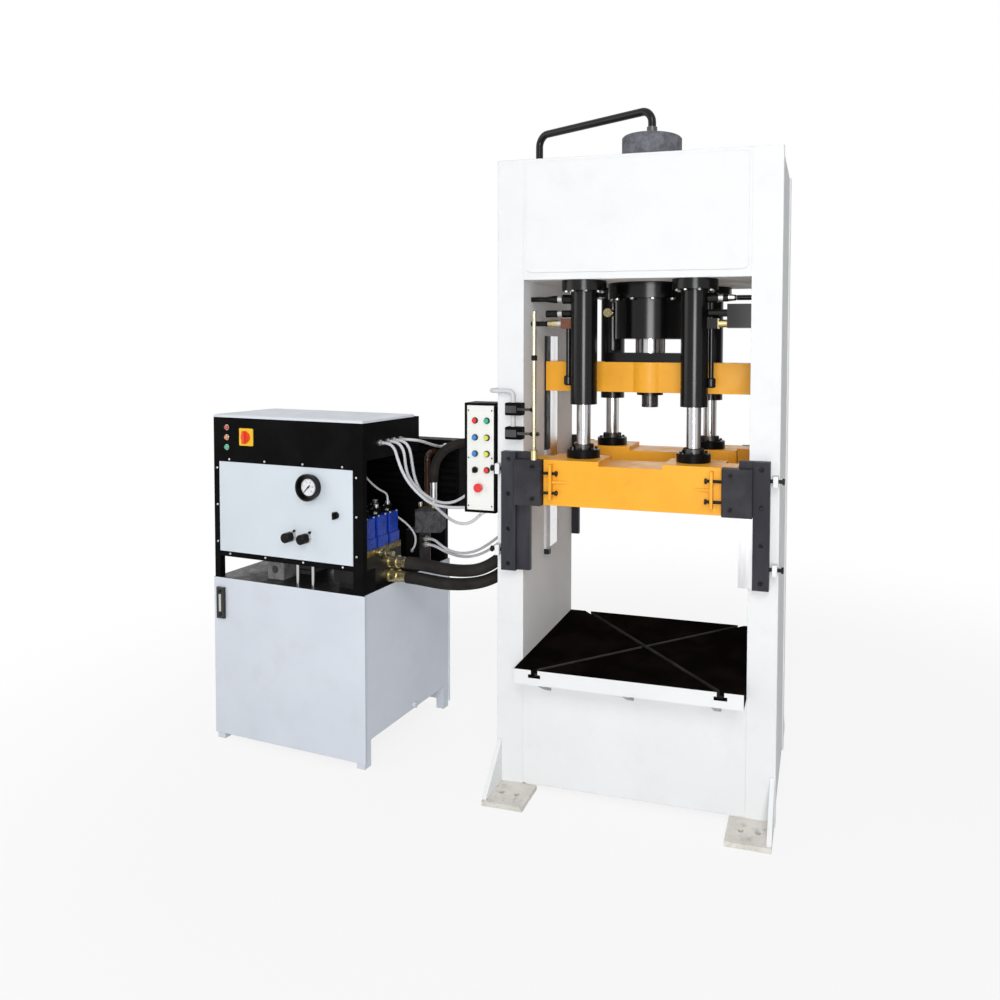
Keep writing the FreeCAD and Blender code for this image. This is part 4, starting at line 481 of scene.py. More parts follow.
# CAD nodes that wear each finish
FINISH_NODES: dict[str, tuple[str, ...]] = {
    "frame_enamel": ("side_frame_left", "side_frame_right", "crown_box", "crown_cover", "bed_box"),
    "black_table": ("bolster_plate",),
    "foot_enamel": ("foot_plates",),
    "rail_black": ("guide_rails",),
    "black_oxide": ("jack_screws", "gib_screws", "valve_block"),
    "bright_steel": ("slide_guides",),
    "black_gloss": (
        "main_cylinder", "hold_cylinders", "pressure_pipes", "pipe_fittings", "ram_clamps",
        "pressure_gauge"),
    "cast_grey": ("cylinder_cap",),
    "black_satin": ("limit_switches", "control_box", "unit_cabinet", "solenoid_coils", "oil_cooler"),
    "panel_white": ("control_panel",),
    "amber_enamel": ("blank_holder", "slide_beam"),
    "shoe_black": ("guide_shoes",),
    "polished_steel": ("hold_rods", "main_ram"),
    "pale_brass": ("trip_rod",),
    "red_cap": ("red_button_upper", "red_button_lower", "emergency_stop"),
    "green_cap": ("green_button",),
    "blue_cap": ("blue_button_upper", "blue_button_lower"),
    "yellow_cap": ("yellow_button_upper", "yellow_button_lower"),
    "black_cap": ("mode_selector", "key_switch", "relief_knob_left", "relief_knob_right", "gauge_needle"),
    "dark_steel": ("upper_switch_lever", "lower_switch_lever"),
    "handle_red": ("main_switch_handle",),
    "tank_enamel": ("oil_tank",),
    "roof_grey": ("cabinet_roof",),
    "panel_grey": ("instrument_panel",),
    "lamp_red": ("pilot_lamps",),
    "machine_grey": ("pump_motor",),
    "valve_blue": ("directional_valves",),
    "yellow_zinc": ("hose_fittings",),
    "nickel": ("cable_glands",),
}


def knob_zones(left: float, right: float) -> tuple[Zone, ...]:
    """Bare parts of a relief knob.

    Args:
        left: left end of its lock screw, in the power unit's frame.
        right: right end of it.

    Returns:
        Zones of the shank, the lock screw and the screw's black cap.
    """
    low, cap, high = 1.095, 1.104, 1.13
    return (Zone("zinc", (None, -0.0155, None), unit=True),
            Zone("zinc", (left, None, low), (right, None, high), unit=True),
            Zone("black_cap", (left + 0.002, None, cap), (right, None, high), unit=True))


# Parts of a node with a finish of their own, the last on top
NODE_ZONES: dict[str, tuple[Zone, ...]] = {
    # bare slots in the black table, their steel grey darkened as painted shade in the hollows, and its
    # painted front and back edges and underside
    "bolster_plate": (
        Zone("slot_grey", (-0.498, -0.44, None), (0.498, 0.345, 0.5935)),
        Zone("frame_enamel", high=(None, -0.4615, None)), Zone("frame_enamel", low=(None, 0.3495, None)),
        Zone("frame_enamel", high=(None, None, 0.5295))),
    # black upper half of the strips' front parts, painted shade standing in for the strips' shaded front
    # sides; pale lower half, black stop blocks
    "slide_guides": (
        Zone("black_satin", (None, None, 1.506), (None, -0.025, None)),
        Zone("conduit_grey", high=(None, -0.025, 1.506)),
        Zone("black_satin", high=(None, None, 1.0268))),
    "cylinder_cap": (Zone("rust_primer", high=(None, None, 2.832)),),
    # ground inner flanks of the right hand rails; the front flank is ground only below 1.40 and left black
    # above the shoe, partly the black rail and partly painted shade
    "guide_rails": (
        Zone("ground_steel", (0.458, -0.373, None), (0.5198, -0.34, 1.40)),
        Zone("ground_steel", (0.458, 0.34, None), (0.5198, 0.373, None))),
    # black feet and the turned neck above them
    "hold_rods": (
        Zone("black_gloss", high=(None, None, 1.5445)),
        Zone("dark_steel", (None, None, 1.5445), (None, None, 1.565))),
    "ram_clamps": (Zone("dark_steel", high=(None, None, 1.7775)),),
    "trip_rod": (
        Zone("brass", high=(None, None, 1.549)),
        Zone("black_satin", (None, None, 1.940), (None, None, 1.964))),
    "foot_plates": (Zone("frame_enamel", low=(None, None, 0.0255)),),
    # painted shade: the ribs under the ledge wear a darker grey standing in for the shade beneath it
    "bed_box": (Zone("rib_enamel", (None, None, 0.40), (None, -0.3505, 0.5294)),),
    # lead-in, link and the two cover plates
    "limit_switches": (
        Zone("conduit_grey", low=(None, None, 1.7525)),
        Zone("conduit_grey", (None, None, 1.6455), (None, None, 1.6955)),
        Zone("machine_grey", (None, -0.3885, 1.60), (-0.52, -0.3875, 1.632)),
        Zone("machine_grey", (None, -0.3885, 1.707), (-0.52, -0.3875, 1.739))),
    "control_panel": (Zone("black_gloss", high=(None, -0.3484, None)),),
    # level gauge pipes of the tank, and the pipe behind the filter
    "pressure_pipes": (
        Zone("polished_steel", (-0.45, 0.02, 0.83), (-0.28, 0.06, None), unit=True),
        Zone("brown_pipe", (-0.10, 0.50, None), (0.0, 0.72, 1.45), unit=True)),
    # couplings at the left and right hold-down cylinders, the rear one, and those of the main hose,
    # the cap and the two side hoses
    "pipe_fittings": (
        Zone("zinc", (-0.372, -0.30, 2.08), (-0.352, -0.20, 2.25)),
        Zone("brass", (-0.42, -0.30, 2.08), (-0.372, -0.20, 2.13)),
        Zone("rust_primer", (-0.3545, -0.28, 2.083), (-0.30, -0.22, 2.127)),
        Zone("brass", (0.352, -0.30, 2.08), (0.42, -0.20, 2.13)),
        Zone("zinc", (0.352, -0.30, 2.19), (0.372, -0.20, 2.25)),
        Zone("zinc", (0.395, -0.30, 2.19), (0.42, -0.20, 2.25)),
        Zone("brass", (-0.28, 0.13, 2.14), (-0.225, 0.20, 2.20)),
        Zone("zinc", (-0.83, 0.20, 1.46), (-0.70, 0.30, 1.53)),
        Zone("dark_steel", (-0.10, -0.10, 2.974), (0.10, 0.10, 3.03)),
        Zone("zinc", (None, -0.08, 1.11), (-0.62, 0.08, 1.176))),
    # black lid, the grey block on it and the frame of the level gauge
    "oil_tank": (
        Zone("black_satin", low=(None, None, 0.8285)),
        Zone("block_grey", (-0.638, 0.069, 0.8292), (-0.534, 0.176, 0.93), unit=True),
        Zone("black_gloss", (None, None, 0.61), (None, -0.0004, 0.80), unit=True)),
    "unit_cabinet": (
        Zone("yellow_plate", (-0.74, -0.006, 1.50), (-0.64, -0.0004, 1.592), unit=True),),
    # red, amber and green lamps, and their bezels
    "pilot_lamps": (
        Zone("lamp_amber", (None, None, 1.515), (None, None, 1.565)),
        Zone("lamp_green", high=(None, None, 1.515)),
        Zone("zinc", (None, -0.0031, None), unit=True)),
    "relief_knob_left": knob_zones(-0.388, -0.36),
    "relief_knob_right": knob_zones(-0.296, -0.26),
    "solenoid_coils": (Zone("zinc", low=(None, None, 1.2055)),),
    # filter body, its cast head, and the bar under the valves
    "valve_block": (
        Zone("black_satin", (None, 0.40, None), (None, None, 1.0395), unit=True),
        Zone("cast_dark", (None, 0.40, 1.0395), unit=True),
        Zone("bar_zinc", (None, None, 0.99), (None, 0.40, 1.0195), unit=True)),
    "hose_fittings": (Zone("nickel", low=(None, None, 1.17)),),
    "oil_cooler": (Zone("machine_grey", (None, 0.7505, None), unit=True),),
}


@dataclass(frozen=True)
class Lamp:
    """Soft rectangular lamp: its middle, the point it shines at, width and height, and power in watts."""

    name: str
    place: Point
    aim: Point
    size: tuple[float, float]
    power: float

    def build(self) -> None:
        """Make the lamp."""
        data = bpy.data.lights.new(self.name, "AREA")
        data.shape = "RECTANGLE"
        data.size, data.size_y = self.size
        data.energy = self.power
        lamp = put(self.name, data)
        lamp.location = self.place
        way = Vector(self.aim) - Vector(self.place)
        lamp.rotation_euler = way.to_track_quat("-Z", "Y").to_euler()


@dataclass(frozen=True)
class Studio:
    """Camera, floor, lamps and world."""

    position: Point = (0.79476, -3.64203, 1.99954)
    yaw: float = 14.87255
    pitch: float = -2.11841
    roll: float = 0.35904
    focal_share: float = 0.789757       # focal length as a share of the picture's width
    centre: tuple[float, float] = (0.614828, 0.376726)  # principal point, from the top left
    sensor: float = 36.0
    sky_level: float = 0.43
    floor_half: float = 20.0
    floor_colours: tuple[float, float] = (0.62, 0.60)
    fade: tuple[float, float] = (1.6, 4.5)      # radii between which the floor turns into the background
    fade_share: tuple[float, float] = (0.85, 1.0)
    lamps: tuple[Lamp, ...] = (
        Lamp("key", (1.8, -6.0, 6.2), (-0.5, 0.0, 1.3), (3.4, 2.8), 165.0),
        Lamp("front", (1.15, -5.6, 2.0), (-0.2, 0.0, 1.7), (1.9, 1.6), 150.0),
        Lamp("fill", (-5.0, -2.6, 2.8), (-0.6, 0.0, 1.3), (3.0, 3.0), 35.0),
        Lamp("back", (-1.0, 4.5, 4.2), (-0.3, 0.0, 1.4), (3.0, 3.0), 30.0))

    def camera(self) -> None:
        """Make the camera at the photograph's viewing angle."""
        yaw, pitch, roll = (math.radians(a) for a in (self.yaw, self.pitch, self.roll))
        forward = Vector((
            -math.sin(yaw) * math.cos(pitch), math.cos(yaw) * math.cos(pitch), math.sin(pitch)))
        level = Vector((math.cos(yaw), math.sin(yaw), 0.0))
        upright = level.cross(forward)
        right = level * math.cos(roll) + upright * math.sin(roll)
        up = upright * math.cos(roll) - level * math.sin(roll)
        data = bpy.data.cameras.new("view")
        data.sensor_width = self.sensor
        data.lens = self.sensor * self.focal_share
        data.shift_x = 0.5 - self.centre[0]
        data.shift_y = self.centre[1] - 0.5
        data.clip_end = 60.0
        camera = put("view", data)
        camera.matrix_world = Matrix.Translation(self.position) @ Matrix(
            (right, up, -forward)).transposed().to_4x4()
        bpy.context.scene.camera = camera

    def world(self) -> None:
        """White background over a plain level of sky light."""
        world = bpy.data.worlds.new("studio")
        graph = Graph.of(world)
        sky, white = (graph.add("ShaderNodeBackground", {"Color": WHITE, "Strength": level}).outputs[0]
                      for level in (self.sky_level, 1.0))
        graph.add("ShaderNodeOutputWorld", {"Surface": graph.layer(graph.seen(), sky, white)})
        bpy.context.scene.world = world

    def floor(self) -> None:
        """Pale floor that keeps the object's shadow and fades into the white background."""
        mesh = bpy.data.meshes.new("floor")
        half = self.floor_half
        mesh.from_pydata([(-half, -half, 0), (half, -half, 0), (half, half, 0), (-half, half, 0)], [],
                         [(0, 1, 2, 3)])
        material = bpy.data.materials.new("floor_paint")
        graph = Graph.of(material)
        light, dark = ((level,) * 3 for level in self.floor_colours)
        paint = graph.add("ShaderNodeBsdfPrincipled", {
            "Base Color": graph.blend(graph.noise(3.0), light, dark), "Roughness": 0.6})
        white = graph.add("ShaderNodeEmission", {"Strength": 1.0})
        radius = graph.add("ShaderNodeVectorMath", {0: graph.place()}, operation="LENGTH").outputs["Value"]
        share = graph.calc("MULTIPLY", graph.seen(), graph.step(radius, *self.fade, *self.fade_share))
        graph.add("ShaderNodeOutputMaterial", {
            "Surface": graph.layer(share, paint.outputs[0], white.outputs[0])})
        mesh.materials.append(material)
        put("floor", mesh)

    def build(self) -> None:
        """Make the camera and everything round the object."""
        self.camera()
        self.world()
        self.floor()
        for lamp in self.lamps:
            lamp.build()
        bpy.context.scene.view_settings.view_transform = "Standard"
        LOG.info("studio made")


@dataclass(frozen=True)
class Route:
    """Chosen points of one free hose or conduit, from exit to exit, with its real length and diameter."""

    name: str
    node: str
    length: float
    diameter: float
    points: tuple[Point, ...]
    finish: str = "conduit_grey"
    stiffness: str = "medium"


@dataclass(frozen=True)
class Cords:
    """Free hoses and conduits between the power unit and the press."""

    main: float = 0.048
    side: float = 0.060
    conduit: float = 0.014
    lead: float = 0.010

    def routes(self) -> list[Route]:
        """Routes of the three hoses, four conduits, two cables and two leads.

        Returns:
            One route for each cord.
        """
        return [
            Route("main_hose_rubber", "main_hose", 0.527, self.main, (
                (-1.1898, 0.1198, 1.285), (-1.1898, 0.1198, 1.371), (-1.149, 0.134, 1.445),
                (-1.079, 0.159, 1.488), (-0.997, 0.187, 1.496), (-0.8901, 0.2225, 1.495),
                (-0.8205, 0.2504, 1.495)), "rubber", "stiff"),
            Route("feed_hose_rubber", "feed_hose", 0.664, self.side, (
                (-1.157, -0.2106, 0.944), (-1.1052, -0.2154, 0.944), (-1.041, -0.205, 0.934),
                (-0.978, -0.164, 0.912), (-0.905, -0.114, 0.896), (-0.838, -0.078, 0.898),
                (-0.772, -0.052, 0.93), (-0.706, -0.036, 0.988), (-0.662, -0.03, 1.059),
                (-0.662, -0.03, 1.115)), "rubber", "stiff"),
            Route("return_hose_rubber", "return_hose", 0.76, self.side, (
                (-1.157, -0.2106, 0.873), (-1.1052, -0.2154, 0.873), (-1.041, -0.204, 0.862),
                (-0.978, -0.16, 0.84), (-0.905, -0.104, 0.827), (-0.838, -0.054, 0.828),
                (-0.774, -0.012, 0.85), (-0.712, 0.022, 0.905), (-0.674, 0.034, 0.98),
                (-0.662, 0.036, 1.055), (-0.662, 0.036, 1.115)), "rubber", "stiff"),
            Route("conduit_low_front", "control_conduits", 0.809, self.conduit, (
                (-1.2344, -0.2989, 1.538), (-1.2105, -0.3011, 1.538), (-1.186, -0.303, 1.528),
                (-1.168, -0.305, 1.509), (-1.157, -0.305, 1.476), (-1.138, -0.3, 1.415),
                (-1.104, -0.29, 1.35), (-1.058, -0.279, 1.299), (-1.012, -0.252, 1.25),
                (-0.95, -0.202, 1.226), (-0.89, -0.165, 1.221), (-0.828, -0.14, 1.224),
                (-0.768, -0.128, 1.24), (-0.715, -0.125, 1.266), (-0.675, -0.125, 1.29),
                (-0.643, -0.125, 1.29))),
            Route("conduit_high", "control_conduits", 0.847, self.conduit, (
                (-1.2289, -0.2391, 1.538), (-1.205, -0.2413, 1.538), (-1.181, -0.243, 1.528),
                (-1.163, -0.244, 1.509), (-1.153, -0.243, 1.477), (-1.149, -0.24, 1.417),
                (-1.133, -0.234, 1.36), (-1.094, -0.216, 1.307), (-1.048, -0.19, 1.262),
                (-1.0, -0.158, 1.234), (-0.945, -0.125, 1.237), (-0.89, -0.1, 1.275),
                (-0.835, -0.088, 1.325), (-0.775, -0.083, 1.365), (-0.715, -0.08, 1.39),
                (-0.675, -0.08, 1.4), (-0.643, -0.08, 1.4))),
            Route("conduit_to_box", "control_conduits", 0.769, self.conduit, (
                (-1.2243, -0.1894, 1.538), (-1.2004, -0.1916, 1.538), (-1.176, -0.193, 1.528),
                (-1.158, -0.194, 1.509), (-1.148, -0.192, 1.476), (-1.141, -0.188, 1.412),
                (-1.133, -0.18, 1.352), (-1.113, -0.172, 1.298), (-1.075, -0.166, 1.254),
                (-1.018, -0.174, 1.214), (-0.95, -0.212, 1.184), (-0.872, -0.262, 1.168),
                (-0.8, -0.292, 1.174), (-0.7529, -0.3, 1.2021), (-0.7246, -0.3, 1.2304))),
            Route("conduit_to_fan", "control_conduits", 0.397, self.conduit, (
                (-1.2195, -0.1376, 1.538), (-1.1937, -0.14, 1.538), (-1.1696, -0.1291, 1.536),
                (-1.1545, -0.1074, 1.531), (-1.1487, -0.0658, 1.52), (-1.1482, 0.0045, 1.5),
                (-1.1597, 0.0758, 1.484), (-1.1729, 0.1293, 1.474), (-1.1773, 0.1678, 1.466),
                (-1.1742, 0.2017, 1.466))),
            Route("cable_upper", "sensor_cables", 0.615, self.conduit, (
                (-1.1995, 0.0795, 0.992), (-1.1657, 0.0764, 0.992), (-1.125, 0.073, 0.962),
                (-1.062, 0.07, 0.934), (-0.99, 0.072, 0.929), (-0.92, 0.078, 0.948),
                (-0.862, 0.085, 0.984), (-0.808, 0.091, 1.026), (-0.76, 0.095, 1.062),
                (-0.712, 0.096, 1.082), (-0.679, 0.096, 1.09), (-0.643, 0.096, 1.09))),
            Route("cable_lower", "sensor_cables", 0.626, self.conduit, (
                (-1.1995, 0.0795, 0.96), (-1.1657, 0.0764, 0.96), (-1.115, 0.085, 0.932),
                (-1.05, 0.094, 0.908), (-0.98, 0.103, 0.904), (-0.91, 0.112, 0.924),
                (-0.85, 0.121, 0.962), (-0.796, 0.128, 1.008), (-0.745, 0.131, 1.052),
                (-0.705, 0.131, 1.08), (-0.677, 0.131, 1.09), (-0.643, 0.131, 1.09))),
            Route("lead_upper", "control_conduits", 0.308, self.lead, (
                (-1.3717, -0.3063, 1.436), (-1.3717, -0.3063, 1.412), (-1.3554, -0.2827, 1.382),
                (-1.3374, -0.2392, 1.33), (-1.3243, -0.1852, 1.288), (-1.3192, -0.1404, 1.268),
                (-1.3197, -0.1183, 1.247), (-1.3197, -0.1183, 1.221))),
            Route("lead_lower", "control_conduits", 0.309, self.lead, (
                (-1.3164, -0.0825, 1.135), (-1.3142, -0.0586, 1.135), (-1.3023, -0.0335, 1.118),
                (-1.2581, -0.0115, 1.074), (-1.2288, 0.0019, 1.022), (-1.2364, 0.0066, 0.968),
                (-1.2725, 0.0179, 0.93), (-1.2701, 0.0438, 0.93)))]

    def strand(self, route: Route) -> bpy.types.Object:
        """One smooth cord through the points of its route.

        Args:
            route: route of the cord.

        Returns:
            The curve object.
        """
        curve = bpy.data.curves.new(route.name, "CURVE")
        curve.dimensions = "3D"
        curve.bevel_depth = route.diameter / 2
        curve.bevel_resolution = 8
        curve.resolution_u = 10
        curve.use_fill_caps = True
        spline = curve.splines.new("NURBS")
        spline.points.add(len(route.points) - 1)
        for target, point in zip(spline.points, route.points):
            target.co = (*point, 1.0)
        spline.order_u = 3
        spline.use_endpoint_u = True
        curve.materials.append(Finishes.of(route.finish))
        return put(route.name, curve)

    def build(self) -> None:
        """Make every cord, in place of its CAD solid."""
        for route in self.routes():
            piece = self.strand(route)
            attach(piece, "press_frame")
            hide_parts(route.node)
            LOG.info("cord %s", route.name)


class Solid:
    """Shape of one dressing piece, put together in a bmesh."""

    SHARP_FROM = math.radians(35)

    def __init__(self) -> None:
        """Start an empty shape."""
        self.bm = bmesh.new()

    def skin(self, rows: list[list[Vector]], ring: bool = False) -> None:
        """Closed skin through loops of equal length.

        Args:
            rows: loops of points, in order.
            ring: join the last loop to the first, or fill both ends.
        """
        made = [[self.bm.verts.new(point) for point in row] for row in rows]
        pairs = list(zip(made, made[1:])) + ([(made[-1], made[0])] if ring else [])
        for first, second in pairs:
            for i in range(len(first)):
                j = (i + 1) % len(first)
                self.bm.faces.new((first[i], first[j], second[j], second[i]))
        if not ring:
            self.bm.faces.new(list(reversed(made[0])))
            self.bm.faces.new(made[-1])

    def turned(self, origin: Point, way: Point, profile: tuple[tuple[float, float], ...], sides: int = 32,
               ring: bool = False) -> None:
        """Turned shape round an axis.

        Args:
            origin: point on the axis.
            way: direction of the axis.
            profile: radius and height of each loop.
            sides: points of a loop.
            ring: close the profile into a ring.
        """
        turn = Vector(way).to_track_quat("Z", "Y")
        self.skin([[Vector(origin) + turn @ Vector((
            radius * math.cos(math.tau * i / sides), radius * math.sin(math.tau * i / sides), height))
            for i in range(sides)] for radius, height in profile], ring)

    def box(self, low: Point, high: Point, bevel: float) -> None:
        """Box with softened edges.

        Args:
            low: lowest corner.
            high: highest corner.
            bevel: width of the softened edges.
        """
        size = Vector(high) - Vector(low)
        place = Matrix.Translation(Vector(low) + size / 2) @ Matrix.Diagonal((*size, 1.0))
        made = bmesh.ops.create_cube(self.bm, size=1.0, matrix=place)["verts"]
        edges = list({edge for vert in made for edge in vert.link_edges})
        bmesh.ops.bevel(self.bm, geom=edges, offset=bevel, segments=2, profile=0.5, affect="EDGES")

    def mesh(self, name: str) -> bpy.types.Mesh:
        """Mesh of the shape.

        Args:
            name: name of the mesh.

        Returns:
            The mesh, with faces outward and only its real edges sharp.
        """
        bmesh.ops.recalc_face_normals(self.bm, faces=self.bm.faces)
        mesh = bpy.data.meshes.new(name)
        self.bm.to_mesh(mesh)
        self.bm.free()
        mesh.shade_smooth()
        mesh.set_sharp_from_angle(angle=self.SHARP_FROM)
        return mesh

    def piece(self, name: str, finish: str, body: str = "press_frame", unit: bool = True) -> None:
        """Make the piece and let it ride on a body.

        Args:
            name: name of the piece.
            finish: finish of the piece.
            body: body it rides on.
            unit: the points are given in the power unit's frame.
        """
        if unit:
            place = Matrix.Translation((UNIT_X, UNIT_Y, 0.0)) @ Matrix.Rotation(UNIT_TURN, 4, "Z")
            bmesh.ops.transform(self.bm, matrix=place, verts=self.bm.verts)
        mesh = self.mesh(name)
        mesh.materials.append(Finishes.of(finish))
        place_piece(name, mesh, body)


def place_piece(name: str, mesh: bpy.types.Mesh, body: str) -> None:
    """Put a finished mesh in the scene, riding on a body."""
    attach(put(name, mesh), body)
    LOG.info("piece %s rides %s", name, body)


class Head(Enum):
    """Screw heads: outline, radius and height of each loop, for a head of radius 1."""

    SOCKET = (("round", 0.97, -0.05), ("round", 1.0, 0.06), ("round", 1.0, 1.08), ("round", 0.9, 1.2),
              ("hex", 0.56, 1.2), ("hex", 0.54, 0.5))
    HEX = (("round", 1.42, -0.05), ("round", 1.42, 0.16), ("round", 1.02, 0.17), ("hex", 0.9, 0.18),
           ("hex", 0.9, 0.74), ("round", 0.84, 0.86))
    DOME = (("round", 1.0, -0.05), ("round", 1.0, 0.14), ("round", 0.86, 0.44), ("round", 0.55, 0.62),
            ("hex", 0.36, 0.66), ("hex", 0.34, 0.3))


class Fastening:
    """Screw heads that a Geometry Nodes tree puts on chosen places."""

    SEED = 7
    SIDES = 24

    def __init__(self) -> None:
        """Make the head templates and the tree."""
        self.templates = {head: self.template(head) for head in Head}
        self.keys: dict[str, str] = {}
        self.tree = self.grow()

    def template(self, head: Head) -> bpy.types.Object:
        """One head of radius 1 at the origin, pointing up.

        Args:
            head: kind of head.

        Returns:
            The template object.
        """
        rows = []
        for outline, radius, height in head.value:
            row = []
            for i in range(self.SIDES):
                angle = math.tau * i / self.SIDES
                reach = radius
                if outline == "hex":
                    reach = radius / math.cos(angle % (math.pi / 3) - math.pi / 6)
                row.append(Vector((reach * math.cos(angle), reach * math.sin(angle), height)))
            rows.append(row)
        shape = Solid()
        shape.skin(rows)
        mesh = shape.mesh("head_" + head.name.lower())
        return put(mesh.name, mesh)

    def grow(self) -> bpy.types.NodeTree:
        """Tree that sets a head on every point, along its way and to its size, with its own spin.

        Returns:
            The Geometry Nodes tree.
        """
        tree = bpy.data.node_groups.new("screw_heads", "GeometryNodeTree")
        for name, kind in (("Places", "NodeSocketGeometry"), ("Head", "NodeSocketObject"),
                           ("Finish", "NodeSocketMaterial"), ("Seed", "NodeSocketInt")):
            made = tree.interface.new_socket(name=name, in_out="INPUT", socket_type=kind)
            self.keys[name] = made.identifier
        tree.interface.new_socket(name="Heads", in_out="OUTPUT", socket_type="NodeSocketGeometry")
        graph = Graph(tree)
        given = graph.add("NodeGroupInput").outputs
        way, size = (graph.add("GeometryNodeInputNamedAttribute", {"Name": name},
                               data_type=kind).outputs["Attribute"]
                     for name, kind in (("way", "FLOAT_VECTOR"), ("size", "FLOAT")))
        align = graph.add("FunctionNodeAlignRotationToVector", {"Vector": way}, axis="Z")
        spin = graph.add("FunctionNodeRandomValue", {3: math.tau, "Seed": given["Seed"]},
                         data_type="FLOAT")
        axis = graph.add("ShaderNodeCombineXYZ", {"Z": spin.outputs[1]})
        euler = graph.add("FunctionNodeEulerToRotation", {0: axis.outputs[0]})
        turn = graph.add("FunctionNodeRotateRotation", {
            "Rotation": align.outputs[0], "Rotate By": euler.outputs[0]}, rotation_space="LOCAL")
        info = graph.add("GeometryNodeObjectInfo", {"Object": given["Head"]})
        spread = graph.add("GeometryNodeInstanceOnPoints", {
            "Points": given["Places"], "Instance": info.outputs["Geometry"],
            "Rotation": turn.outputs[0], "Scale": size})
        real = graph.add("GeometryNodeRealizeInstances", {0: spread.outputs[0]})
        dress = graph.add("GeometryNodeSetMaterial", {
            "Geometry": real.outputs[0], "Material": given["Finish"]})
        graph.add("NodeGroupOutput", {0: dress.outputs[0]})
        return tree

    def row(self, name: str, head: Head, finish: str, places: list[tuple[Point, Point, float]],
            body: str = "press_frame") -> None:
        """Make one piece of like screws.

        Args:
            name: name of the piece.
            head: kind of head.
            finish: finish of the heads.
            places: seat, direction and head radius of each screw.
            body: body they ride on.
        """
        mesh = bpy.data.meshes.new(name + "_places")
        mesh.from_pydata([place for place, _, _ in places], [], [])
        mesh.attributes.new("way", "FLOAT_VECTOR", "POINT")
        mesh.attributes.new("size", "FLOAT", "POINT")
        for index, (_, way, size) in enumerate(places):
            mesh.attributes["way"].data[index].vector = way
            mesh.attributes["size"].data[index].value = size
        holder = put(name + "_places", mesh)
        modifier = holder.modifiers.new("heads", "NODES")
        modifier.node_group = self.tree
        modifier[self.keys["Head"]] = self.templates[head]
        modifier[self.keys["Finish"]] = Finishes.of(finish)
        modifier[self.keys["Seed"]] = self.SEED
        grown = holder.evaluated_get(bpy.context.evaluated_depsgraph_get())
        plain = bpy.data.meshes.new_from_object(grown)
        holder.modifiers.remove(modifier)
        bpy.data.objects.remove(holder)
        place_piece(name, plain, body)

    def close(self) -> None:
        """Take the head templates away again."""
        for template in self.templates.values():
            bpy.data.objects.remove(template)


@dataclass(frozen=True)
class PressScrews:
    """Screws of the frame, the cylinders, the blank holder and the ram."""

    rail_x: float = 0.554
    rail_levels: tuple[float, ...] = (1.036, 1.192, 1.348, 1.504)
    rail_face: float = 0.383
    rail_head: float = 0.008
    shoe_x: float = 0.430
    shoe_levels: tuple[float, ...] = (1.338, 1.478)
    shoe_face: float = 0.422
    shoe_head: float = 0.009
    hold_centre: float = 0.250
    hold_circle: float = 0.080
    hold_level: float = 2.250
    hold_count: int = 8
    hold_head: float = 0.0075
    main_circle: float = 0.1825
    main_level: float = 2.224
    main_count: int = 12
    main_head: float = 0.010
    foot_circle: float = 0.0585
    foot_level: float = 1.544
    foot_count: int = 6
    foot_head: float = 0.0065
    plate_reach: tuple[float, float] = (0.17, 0.055)
    plate_level: float = 1.976
    plate_head: float = 0.009
    box_columns: tuple[float, float] = (-0.766, -0.652)
    box_levels: tuple[float, ...] = (1.711, 1.495, 1.276)
    box_face: float = -0.352
    box_head: float = 0.0035

    @staticmethod
    def circle(x: float, y: float, z: float, radius: float, count: int, way: Point,
               head: float) -> list[tuple[Point, Point, float]]:
        """Places round a bolt circle.

        Args:
            x: centre.
            y: centre.
            z: level of the seat.
            radius: radius of the bolt circle.
            count: number of screws.
            way: direction of the heads.
            head: head radius.

        Returns:
            Seat, direction and head radius of each screw.
        """
        angles = [math.tau * (i + 0.5) / count for i in range(count)]
        return [((x + radius * math.cos(a), y + radius * math.sin(a), z), way, head) for a in angles]

    def build(self, screws: Fastening) -> None:
        """Make the screws of the press.

        Args:
            screws: maker of screw heads.
        """
        sides = (-1, 1)
        screws.row("rail_screws", Head.SOCKET, "black_oxide", [
            ((x * self.rail_x, y * self.rail_face, z), (0.0, float(y), 0.0), self.rail_head)
            for x in sides for y in sides for z in self.rail_levels])
        screws.row("shoe_screws", Head.SOCKET, "black_oxide", [
            ((x * self.shoe_x, y * self.shoe_face, z), (0.0, float(y), 0.0), self.shoe_head)
            for x in sides for y in sides for z in self.shoe_levels], "holder")
        corners = [(x * self.hold_centre, y * self.hold_centre) for x in sides for y in sides]
        screws.row("hold_flange_bolts", Head.HEX, "zinc", [
            place for x, y in corners for place in self.circle(
                x, y, self.hold_level, self.hold_circle, self.hold_count, DOWN, self.hold_head)])
        screws.row("main_flange_bolts", Head.HEX, "zinc", self.circle(
            0.0, 0.0, self.main_level, self.main_circle, self.main_count, DOWN, self.main_head))
        screws.row("rod_foot_screws", Head.SOCKET, "black_oxide", [
            place for x, y in corners for place in self.circle(
                x, y, self.foot_level, self.foot_circle, self.foot_count, UP, self.foot_head)], "holder")
        reach_x, reach_y = self.plate_reach
        screws.row("ram_plate_screws", Head.SOCKET, "black_oxide", [
            ((x * reach_x, y * reach_y, self.plate_level), UP, self.plate_head)
            for x in sides for y in sides], "ram")
        screws.row("box_screws", Head.DOME, "black_oxide", [
            ((x, self.box_face, z), FRONT, self.box_head)
            for x in self.box_columns for z in self.box_levels])


